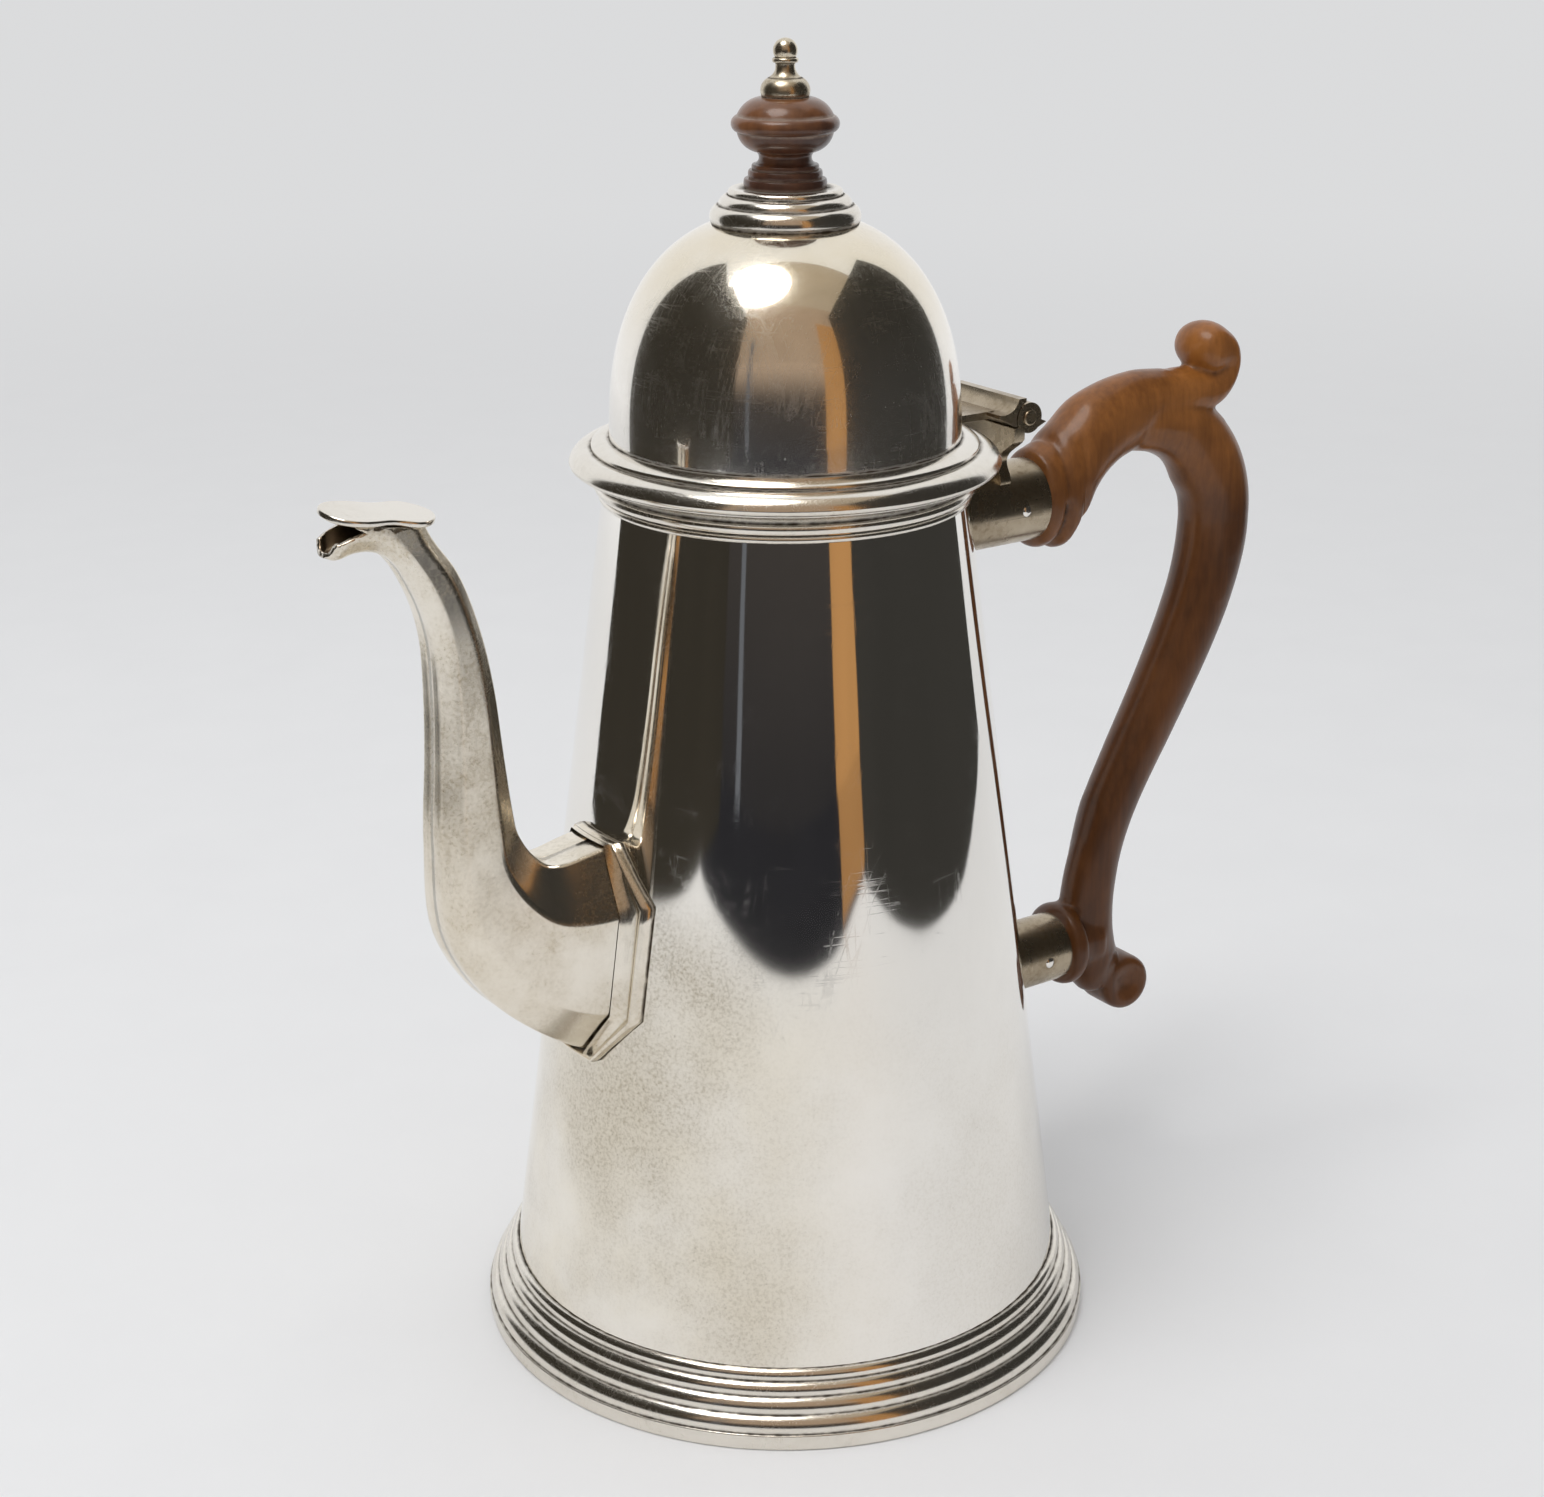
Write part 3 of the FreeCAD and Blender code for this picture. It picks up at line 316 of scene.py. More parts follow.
@dataclass(frozen=True)
class MetalFinish:
    """Polished metal with its tarnish, hairlines, hand marks, and dirt with painted shade in its grooves."""

    name: str
    tint: Colour = (0.91, 0.88, 0.83)
    bloom: Colour = (0.56, 0.49, 0.37)
    # colour in grooves and joints: dirt together with painted shade
    dirt_and_shade: Colour = (0.060, 0.045, 0.028)
    pits: Colour = (0.20, 0.165, 0.115)
    polish: float = 0.055
    bloom_amount: float = 0.35
    bloom_roughness: float = 0.22
    patch: float = 38.0
    speck: float = 700.0
    cover: float = 0.0
    hairlines: float = 0.5
    hairline_depth: float = 0.0000016
    hairline_roughness: float = 0.12
    wave: float = 28.0
    wave_depth: float = 0.00022
    dirt_and_shade_amount: float = 1.0
    dirt_roughness: float = 0.45
    dirt_and_shade_dulling: float = 0.75
    haze: float = 0.0
    haze_grain: float = 12000.0
    # stain: how heavy it is low down, the heights where it is full and where it ends, what is left of it
    # towards the handle, and how far it reaches round the spout's root, full and at its end
    low_stain: float = 0.0
    stain_span: Pair = (0.050, 0.100)
    stain_far: float = 0.35
    stain_round: Pair = (0.016, 0.036)
    # veil: the heights where it ends and where it is full, and what is left of it towards the handle
    veil: float = 0.0
    veil_tint: Colour = (0.90, 0.83, 0.69)
    veil_span: Pair = (0.0, 0.0)
    veil_far: float = 1.0

    def material(self, effects: SharedEffects) -> Material:
        """Builds the material.

        Args:
            effects: the shared node groups.

        Returns:
            A new material.
        """
        material, bench, shader = start_material(self.name)
        place = bench.place()
        weight = self.stain_weight(bench, place) if self.low_stain > 0 else self.bloom_amount
        tarnish = bench.group(
            effects.tarnish, Place=place, Patch=self.patch, Speck=self.speck, Amount=weight, Cover=self.cover,
        )
        hairs = bench.group(effects.scratches, Place=place, Fineness=1.0, Amount=self.hairlines)
        planish = bench.group(effects.planishing, Place=place, Scale=self.wave, Amount=1.0)
        # dirt and painted shade: grooves and joints turn dark, rough and dull
        grime_and_shade = bench.group(effects.groove_dirt_and_shade, Place=place, Groove=bench.groove(), Amount=self.dirt_and_shade_amount)
        base: Setting = (*self.tint, 1.0)
        if self.veil > 0:
            base = bench.blend(self.veil_weight(bench, place), base, (*self.veil_tint, 1.0))
        clean = bench.blend(tarnish["Mask"], base, (*self.bloom, 1.0))
        pitted = bench.blend(tarnish["Specks"], clean, (*self.pits, 1.0))
        rough = bench.sum("MULTIPLY_ADD", tarnish["Mask"], self.bloom_roughness, self.polish)
        rough = bench.sum("MULTIPLY_ADD", hairs["Mask"], self.hairline_roughness, rough)
        if self.haze > 0:
            dull = bench.ramp(bench.noise(place, self.haze_grain, 1.0), 0.5, 0.6, 0.0, self.haze)
            rough = bench.sum("ADD", rough, dull)
        slow = bench.add("ShaderNodeBump", {"Height": planish["Height"], "Distance": self.wave_depth})
        fine = bench.add(
            "ShaderNodeBump",
            {"Height": hairs["Height"], "Distance": self.hairline_depth, "Normal": slow.outputs[0]},
        )
        bench.wire(shader, {
            "Base Color": bench.blend(grime_and_shade["Mask"], pitted, (*self.dirt_and_shade, 1.0)),
            "Roughness": bench.sum("MULTIPLY_ADD", grime_and_shade["Mask"], self.dirt_roughness, rough),
            "Metallic": bench.sum("MULTIPLY_ADD", grime_and_shade["Mask"], -self.dirt_and_shade_dulling, 1.0),
            "Normal": fine.outputs[0],
        })
        return material

    def veil_weight(self, bench: Bench, place: Socket) -> Socket:
        """A thin uneven yellowing between two heights.

        Args:
            bench: the material's bench.
            place: the place on the pot.

        Returns:
            How much of the veil shows there.
        """
        uneven = bench.ramp(bench.noise(place, 24.0, 5.0, 0.6), 0.30, 0.68, 0.35 * self.veil, self.veil)
        weight = bench.sum("MULTIPLY", uneven, bench.ramp(bench.height(place), *self.veil_span))
        if self.veil_far == 1.0:
            return weight
        across = bench.measure("DOT_PRODUCT", place, ACROSS)
        return bench.sum("MULTIPLY", weight, bench.ramp(across, -0.015, 0.032, 1.0, self.veil_far))

    def stain_weight(self, bench: Bench, place: Socket) -> Socket:
        """Stain that is heavy low down, on the side of the spout and round the spout's border.

        Args:
            bench: the material's bench.
            place: the place on the pot.

        Returns:
            How much tarnish shows there.
        """
        low = bench.ramp(bench.height(place), *self.stain_span, self.low_stain, self.bloom_amount)
        across = bench.measure("DOT_PRODUCT", place, ACROSS)
        sided = bench.sum("MULTIPLY", low, bench.ramp(across, -0.022, 0.020, 1.0, self.stain_far))
        away = bench.measure("DISTANCE", place, SPOUT_ROOT)
        return bench.sum("MAXIMUM", sided, bench.ramp(away, *self.stain_round, self.low_stain, 0.0))


@dataclass(frozen=True)
class WoodFinish:
    """Old fruitwood with its grain, pores and hand polish, painted light on its upper part and painted shade low
    down and in its creases.
    """

    name: str
    pale: Colour = (0.325, 0.119, 0.024)
    dark: Colour = (0.150, 0.050, 0.010)
    # low colours: the same wood in painted shade, taking over towards the bottom
    shaded_pale: Colour = (0.128, 0.044, 0.010)
    shaded_dark: Colour = (0.060, 0.020, 0.005)
    # colour in the hollows: painted shade with grime in the handle's creases, pale wax and dust in the knop's
    # grooves
    grime_and_shade: Colour = (0.030, 0.013, 0.006)
    # heights between which the low colours, painted shade, give way to the high ones, painted light
    fade: Pair = (0.130, 0.195)
    lean: Triple = (0.0, 0.35, 0.0)
    figure: Triple = (95.0, 120.0, 14.0)
    fibre: Triple = (900.0, 900.0, 60.0)
    blotch: float = 48.0
    relief: float = 0.00005
    polish: float = 0.26
    sheen: float = 0.27
    coat: float = 0.22
    coat_roughness: float = 0.15

    def material(self, effects: SharedEffects) -> Material:
        """Builds the material.

        Args:
            effects: the shared node groups.

        Returns:
            A new material.
        """
        material, bench, shader = start_material(self.name)
        place = bench.place()
        figure = bench.noise(bench.mapped(place, self.figure, self.lean), 1.0, 6.0, 0.62)
        fibre = bench.noise(bench.mapped(place, self.fibre, self.lean), 1.0, 3.0, 0.6)
        blotch = bench.noise(place, self.blotch, 4.0, 0.6)
        drift = bench.sum("SUBTRACT", blotch, 0.5)
        # painted shade and light: the wood darkens to its low colours towards the bottom and keeps its lighter high
        # ones on top
        share = bench.ramp(bench.sum("MULTIPLY_ADD", drift, 0.05, bench.height(place)), *self.fade)
        mixed = bench.sum("MULTIPLY_ADD", fibre, 0.35, bench.sum("MULTIPLY", figure, 0.75))
        lines = bench.ramp(bench.sum("MULTIPLY_ADD", drift, 0.5, mixed), 0.28, 0.80)
        upper = bench.blend(lines, (*self.dark, 1.0), (*self.pale, 1.0))
        lower = bench.blend(lines, (*self.shaded_dark, 1.0), (*self.shaded_pale, 1.0))
        # painted shade with grime in creases and hollows, from the groove depth noted on the mesh
        grime_and_shade = bench.group(effects.groove_dirt_and_shade, Place=place, Groove=bench.groove(), Amount=1.0)
        rough = bench.sum("MULTIPLY_ADD", blotch, 0.22, self.polish)
        relief = bench.sum("MULTIPLY_ADD", fibre, 0.4, figure)
        bump = bench.add("ShaderNodeBump", {"Height": relief, "Distance": self.relief})
        bench.wire(shader, {
            "Base Color": bench.blend(grime_and_shade["Mask"], bench.blend(share, lower, upper), (*self.grime_and_shade, 1.0)),
            "Roughness": bench.sum("MULTIPLY_ADD", grime_and_shade["Mask"], 0.25, rough),
            "Normal": bump.outputs[0],
            "Specular IOR Level": self.sheen,
            "Coat Weight": self.coat,
            "Coat Roughness": self.coat_roughness,
        })
        return material


# Mesh building


def smooth_row(rows: Sequence[Sequence[float]], place: float, closed: bool = False) -> list[float]:
    """Reads a smooth curve through rows of numbers.

    Args:
        rows: the rows that the curve passes through.
        place: where to read it; whole numbers are the rows.
        closed: whether the curve runs on from the last row to the first.

    Returns:
        The numbers at that place.
    """
    last = len(rows) if closed else len(rows) - 1
    index = min(int(place), last - 1)
    share = place - index
    steps = [index + step for step in (-1, 0, 1, 2)]
    if closed:
        near = [rows[step % last] for step in steps]
    else:
        near = [rows[min(max(step, 0), last)] for step in steps]
    spans = [max(0.001, math.dist(first, second)) for first, second in zip(near, near[1:])]
    square, cube = share * share, share ** 3
    values = []
    for before, start, end, after in zip(*near):
        slope = (end - start) / spans[1]
        leave = ((start - before) / spans[0] * spans[1] + slope * spans[0]) / (spans[0] + spans[1]) * spans[1]
        arrive = ((after - end) / spans[2] * spans[1] + slope * spans[2]) / (spans[1] + spans[2]) * spans[1]
        if not closed and index == 0:
            leave = end - start
        if not closed and index == last - 1:
            arrive = end - start
        values.append(
            (2 * cube - 3 * square + 1) * start + (cube - 2 * square + share) * leave
            + (3 * square - 2 * cube) * end + (cube - square) * arrive
        )
    return values


def share_of(value: float) -> float:
    """Keeps a share between 0 and 1."""
    return min(1.0, max(0.0, value))


def gentle(share: float) -> float:
    """Lets a share start and end slowly."""
    return share * share * (3 - 2 * share)


@dataclass
class Outline:
    """A half outline for the lathe: distance from the axis and height, in millimetres."""

    points: list[Vector] = field(default_factory=list)
    corners: dict[int, float] = field(default_factory=dict)
    grooves: list[Triple] = field(default_factory=list)

    def to(self, out: float, up: float, soft: float = 0.0, groove: float = 0.0) -> "Outline":
        """Goes straight to a point.

        Args:
            out: distance from the axis.
            up: height.
            soft: size of the rounding at this corner.
            groove: width of the dirt and painted shade that gather here.

        Returns:
            The outline itself.
        """
        if soft > 0:
            self.corners[len(self.points)] = soft
        if groove > 0:
            self.grooves.append((out, up, groove))
        self.points.append(Vector((out, up)))
        return self

    def swell(self, out: float, up: float, bulge: float, soft: float = 0.0, groove: float = 0.0) -> "Outline":
        """Goes to a point along an arc that stands off its chord, to the right of the way travelled.

        Args:
            out: distance from the axis at the arc's end.
            up: height at the arc's end.
            bulge: how far the arc stands off its chord.
            soft: size of the rounding at the end.
            groove: width of the dirt and painted shade that gather at the end.

        Returns:
            The outline itself.
        """
        start, end = self.points[-1], Vector((out, up))
        chord = end - start
        along = chord.normalized()
        side = Vector((along.y, -along.x)) * math.copysign(1.0, bulge)
        depth = abs(bulge)
        radius = (chord.length_squared / 4 + depth * depth) / (2 * depth)
        middle = (start + end) / 2 + side * (depth - radius)
        sweep = 4 * math.atan(2 * depth / chord.length)
        count = max(4, math.ceil(math.degrees(sweep) / 9))
        for i in range(1, count):
            turn = (i / count - 0.5) * sweep
            self.points.append(middle + side * (radius * math.cos(turn)) + along * (radius * math.sin(turn)))
        return self.to(out, up, soft, groove)


class Workshop:
    """The ways that new meshes are made and fitted to the frame."""

    @staticmethod
    def object_from(name: str, bm: Mesh, sharp: float = 38.0) -> Piece:
        """Turns a finished bmesh into an object in the scene.

        Args:
            name: the piece's name.
            bm: the mesh, freed here.
            sharp: edges that turn by more than this many degrees stay crisp.

        Returns:
            The new object.
        """
        mesh = bpy.data.meshes.new(name)
        bm.to_mesh(mesh)
        bm.free()
        mesh.shade_smooth()
        mesh.set_sharp_from_angle(angle=math.radians(sharp))
        piece = bpy.data.objects.new(name, mesh)
        bpy.context.scene.collection.objects.link(piece)
        return piece

    @staticmethod
    def even_shading(piece: Piece) -> None:
        """Lets the large faces carry the shading past their softened edges.

        Args:
            piece: the piece to shade.
        """
        modifier = piece.modifiers.new("Even shading", "WEIGHTED_NORMAL")
        modifier.keep_sharp = True
        modifier.weight = 80

    @staticmethod
    def relax(bm: Mesh, verts: Sequence[bmesh.types.BMVert], rounds: int, along_x: bool = True) -> None:
        """Smooths points for a number of rounds, along x too if asked to."""
        for _ in range(rounds):
            bmesh.ops.smooth_vert(bm, verts=verts, factor=0.5, use_axis_x=along_x, use_axis_y=True, use_axis_z=True)

    @staticmethod
    def crisp_edges(bm: Mesh, angle: float) -> list[bmesh.types.BMEdge]:
        """Edges whose two faces turn by more than this many degrees."""
        return [e for e in bm.edges if len(e.link_faces) == 2 and e.calc_face_angle() > math.radians(angle)]

    @staticmethod
    def ease_edges(bm: Mesh, edges: Sequence[bmesh.types.BMEdge], width: float, segments: int) -> None:
        """Rounds edges over.

        Args:
            bm: the mesh.
            edges: the edges to round.
            width: width of the rounding.
            segments: steps across it.
        """
        bmesh.ops.bevel(
            bm, geom=edges, offset=width * MM, offset_type="OFFSET", segments=segments, profile=0.5,
            affect="EDGES", clamp_overlap=True, material=-1,
        )

    @staticmethod
    def cut(bm: Mesh, point: Vector, normal: Vector, clear: bool = True) -> None:
        """Cuts the mesh along a plane, and clears what lies beyond it unless told not to.

        Args:
            bm: the mesh.
            point: a point on the plane, in millimetres.
            normal: the way that the plane faces.
            clear: whether what lies beyond it goes.
        """
        bmesh.ops.bisect_plane(
            bm, geom=bm.verts[:] + bm.edges[:] + bm.faces[:], dist=1e-7, plane_co=point * MM, plane_no=normal,
            clear_outer=clear,
        )

    @classmethod
    def lathe(cls, name: str, outline: Outline, turns: int, place: Matrix = Matrix.Identity(4)) -> Piece:
        """Turns a closed half outline about the pot's axis, and moves it from there if asked to.

        Args:
            name: the piece's name.
            outline: the half outline.
            turns: steps round the axis.
            place: where the turned form goes.

        Returns:
            The new object, with the groove depth for dirt and painted shade noted on its points.
        """
        bm = bmesh.new()
        verts = [bm.verts.new((point.x * MM, 0.0, point.y * MM)) for point in outline.points]
        for first, second in zip(verts, verts[1:] + verts[:1]):
            bm.edges.new((first, second))
        for index, soft in outline.corners.items():
            bmesh.ops.bevel(
                bm, geom=[verts[index]], offset=soft * MM, offset_type="OFFSET", segments=3,
                profile=0.5, affect="VERTICES", material=-1,
            )
        bmesh.ops.spin(
            bm, geom=bm.verts[:] + bm.edges[:], cent=(0, 0, 0), axis=(0, 0, 1), dvec=(0, 0, 0),
            angle=2 * math.pi, steps=turns, use_merge=True, use_duplicate=False,
        )
        bmesh.ops.remove_doubles(bm, verts=bm.verts, dist=0.002 * MM)
        bmesh.ops.recalc_face_normals(bm, faces=bm.faces)
        bmesh.ops.transform(bm, matrix=place, verts=bm.verts)
        piece = cls.object_from(name, bm)
        cls.note_grooves(piece, outline.grooves)
        cls.even_shading(piece)
        return piece

    @staticmethod
    def note_depths(piece: Piece, depths: Sequence[float]) -> None:
        """Writes how deep each point lies in a groove, from 0 to 1, onto the mesh."""
        layer = piece.data.attributes.new("groove", "FLOAT", "POINT")
        layer.data.foreach_set("value", depths)

    @classmethod
    def note_grooves(cls, piece: Piece, grooves: Sequence[Triple]) -> None:
        """Notes the dirt and painted shade round each turned groove.

        Args:
            piece: the turned piece.
            grooves: distance from the axis, height and width of each groove.
        """
        depths = []
        for vertex in piece.data.vertices:
            out, up = math.hypot(vertex.co.x, vertex.co.y) / MM, vertex.co.z / MM
            gaps = [((out - at_out) ** 2 + (up - at_up) ** 2) / width ** 2 for at_out, at_up, width in grooves]
            depths.append(max((math.exp(-gap) for gap in gaps), default=0.0))
        cls.note_depths(piece, depths)

    @staticmethod
    def solid_of(node: str) -> Mesh:
        """A merged copy of a CAD node's mesh.

        Args:
            node: the node to copy.

        Returns:
            The merged mesh.
        """
        bm = bmesh.new()
        bm.from_mesh(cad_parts[node].data)
        bmesh.ops.remove_doubles(bm, verts=bm.verts, dist=0.001 * MM)
        return bm

    @classmethod
    def softened(cls, name: str, node: str, edge: float, shape: Optional[Callable[[Mesh], None]] = None) -> Piece:
        """A copy of a CAD node with its sharp edges eased.

        Args:
            name: the piece's name.
            node: the node to copy.
            edge: width of the easing.
            shape: a change to the form before its edges are eased.

        Returns:
            The new object.
        """
        bm = cls.solid_of(node)
        bmesh.ops.dissolve_limit(
            bm, angle_limit=math.radians(0.6), verts=bm.verts, edges=bm.edges, use_dissolve_boundaries=False,
        )
        if shape is not None:
            shape(bm)
        cls.ease_edges(bm, cls.crisp_edges(bm, 28.0), edge, 3)
        piece = cls.object_from(name, bm)
        cls.even_shading(piece)
        return piece

    @staticmethod
    def settle(piece: Piece, body: Body, stock: Stock, finish: Material, *nodes: str) -> None:
        """Hangs a piece on its body in place of CAD nodes and gives it its finish.

        Args:
            piece: the new piece.
            body: the body that it rides on.
            stock: what it is made from; not used.
            finish: its material.
            nodes: the CAD nodes that it stands for.
        """
        if finish.name not in piece.data.materials:
            piece.data.materials.append(finish)
        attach(piece, body.value)
        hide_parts(*nodes)
        LOG.info("%s: %d faces, rides on %s", piece.name, len(piece.data.polygons), body.value)

    @staticmethod
    def dress(node: str, finish: Material) -> None:
        """Gives a CAD node that keeps its shape a better material.

        Args:
            node: the node to dress.
            finish: its new material.
        """
        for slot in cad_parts[node].material_slots:
            slot.material = finish
        LOG.info("%s: kept from the frame", node)


class Finishes:
    """Every finish on the pot."""

    def __init__(self) -> None:
        """Builds the shared effects and the materials."""
        effects = SharedEffects()
        self.cone = MetalFinish(
            "Cone silver", tint=(0.955, 0.93, 0.885), bloom=(0.50, 0.44, 0.34), low_stain=1.0, bloom_amount=0.10,
            bloom_roughness=0.12, polish=0.045, patch=21.0, speck=1500.0, cover=0.07, veil=0.85,
            veil_span=(0.125, 0.060), veil_far=0.15,
        ).material(effects)
        self.bright = MetalFinish(
            "Polished silver", bloom_amount=0.14, hairlines=0.9, polish=0.05, haze=0.2, veil=1.0,
            veil_tint=(0.82, 0.74, 0.59), veil_span=(0.190, 0.216),
        ).material(effects)
        self.moulding = MetalFinish(
            "Moulding silver", tint=(0.83, 0.79, 0.72), bloom_amount=0.4, polish=0.13, wave=60.0, wave_depth=0.00008,
            dirt_and_shade_amount=0.85, haze=0.10,
        ).material(effects)
        self.spout = MetalFinish(
            "Spout silver", tint=(0.89, 0.845, 0.76), bloom=(0.52, 0.44, 0.31), bloom_amount=0.85, polish=0.11,
            patch=48.0, wave=45.0, speck=1300.0, cover=0.07, haze=0.08, veil=0.7, veil_tint=(0.85, 0.77, 0.64),
            veil_span=(0.175, 0.105),
        ).material(effects)
        self.worn = MetalFinish(
            "Socket silver", tint=(0.48, 0.405, 0.30), bloom=(0.24, 0.18, 0.11), bloom_amount=0.9, polish=0.2,
            patch=90.0, wave=70.0, wave_depth=0.0001, cover=0.06,
        ).material(effects)
        self.cap = MetalFinish(
            "Cap silver", tint=(0.74, 0.67, 0.54), bloom=(0.36, 0.29, 0.19), bloom_amount=0.9, polish=0.2,
            patch=150.0, speck=1500.0, wave=70.0, cover=0.08,
        ).material(effects)
        self.inside = MetalFinish(
            "Stained inside", tint=(0.52, 0.42, 0.30), bloom=(0.16, 0.10, 0.06), bloom_amount=0.9, polish=0.32,
        ).material(effects)
        self.brass = MetalFinish(
            "Turned brass", tint=(0.78, 0.57, 0.27), bloom=(0.42, 0.28, 0.12), bloom_amount=0.5, polish=0.2,
        ).material(effects)
        self.handle = WoodFinish("Handle wood").material(effects)
        # the knop's high colours paint light on its crown and its low ones paint shade below it
        self.knop = WoodFinish(
            "Knop wood", pale=(0.190, 0.074, 0.026), dark=(0.090, 0.033, 0.012), shaded_pale=(0.088, 0.034, 0.018),
            shaded_dark=(0.042, 0.017, 0.010), fade=(0.228, 0.238), coat=0.5, grime_and_shade=(0.24, 0.17, 0.13),
        ).material(effects)


# The pot


@dataclass
class BodyAndFoot:
    """The cone, its reeded foot and the rim that carries the lid."""

    cone_low: float = 56.5
    cone_high: float = 33.5
    cone_height: float = 174.0
    gap: float = 0.05
    fillet: float = 3.2
    reeds: tuple[float, ...] = (3.1, 2.9, 2.5, 2.2)
    reed_swell: float = 0.62
    reed_groove: float = 0.45
    wire_up: float = 167.7
    wire_height: float = 1.3
    wire_swell: float = 0.5
    rim_height: float = 4.7
    rim_reed: float = 2.1
    rim_reed_swell: float = 0.75
    rim_lip: float = 0.5
    rim_hollow: float = 0.9

    def radius(self, up: float) -> float:
        """Outer radius of the cone at a height."""
        return self.cone_low + (self.cone_high - self.cone_low) * up / self.cone_height

    def build(self, finishes: Finishes) -> None:
        """Builds the turned pieces and dresses the cone and its bottom.

        Args:
            finishes: the pot's materials.
        """
        Workshop.dress("body_cone", finishes.cone)
        Workshop.dress("base_disc", finishes.inside)
        for name, node, outline, turns in (
            ("foot_ring", "foot_moulding", self.foot_outline(), 220),
            ("rim_bead", "rim_wire", self.wire_outline(), 180),
            ("rim_ring", "rim_moulding", self.rim_outline(), 180),
        ):
            ring = Workshop.lathe(name, outline, turns)
            Workshop.settle(ring, Body.POT, Stock.SILVER, finishes.moulding, node)

    def foot_outline(self) -> Outline:
        """The fillet and the reeds that shrink towards the cone.

        Returns:
            The half outline.
        """
        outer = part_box("foot_moulding")[1].x / MM
        out, up = outer - self.reed_groove, self.fillet
        outline = Outline().to(self.radius(0) + self.gap, 0.0).to(outer, 0.0, soft=0.45)
        outline.to(outer, up, soft=0.3).to(out, up, groove=0.42)
        fall = (out - self.radius(up + sum(self.reeds)) - self.gap) / sum(self.reeds)
        for reed in self.reeds:
            out -= fall * reed
            up += reed
            outline.swell(out, up, self.reed_swell, groove=0.40)
        return outline

    def wire_outline(self) -> Outline:
        """The thin half-round bead under the rim.

        Returns:
            The half outline.
        """
        top = self.wire_up + self.wire_height
        outline = Outline().to(self.radius(self.wire_up) + self.gap, self.wire_up, groove=0.3)
        return outline.swell(self.radius(top) + self.gap, top, self.wire_swell, groove=0.3)

    def rim_outline(self) -> Outline:
        """The reed and the hollow up to the lip.

        Returns:
            The half outline.
        """
        low = self.cone_height - self.rim_height
        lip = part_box("rim_moulding")[1].x / MM
        reed = self.radius(low) + self.rim_reed_swell
        outline = Outline().to(self.radius(low) + self.gap, low, groove=0.35).to(reed, low, soft=0.15)
        outline.swell(reed, low + self.rim_reed, self.rim_reed_swell, groove=0.55)
        outline.swell(lip, self.cone_height - self.rim_lip, -self.rim_hollow, soft=0.15)
        outline.to(lip, self.cone_height, soft=0.12, groove=0.25)
        return outline.to(self.cone_high + self.gap, self.cone_height)


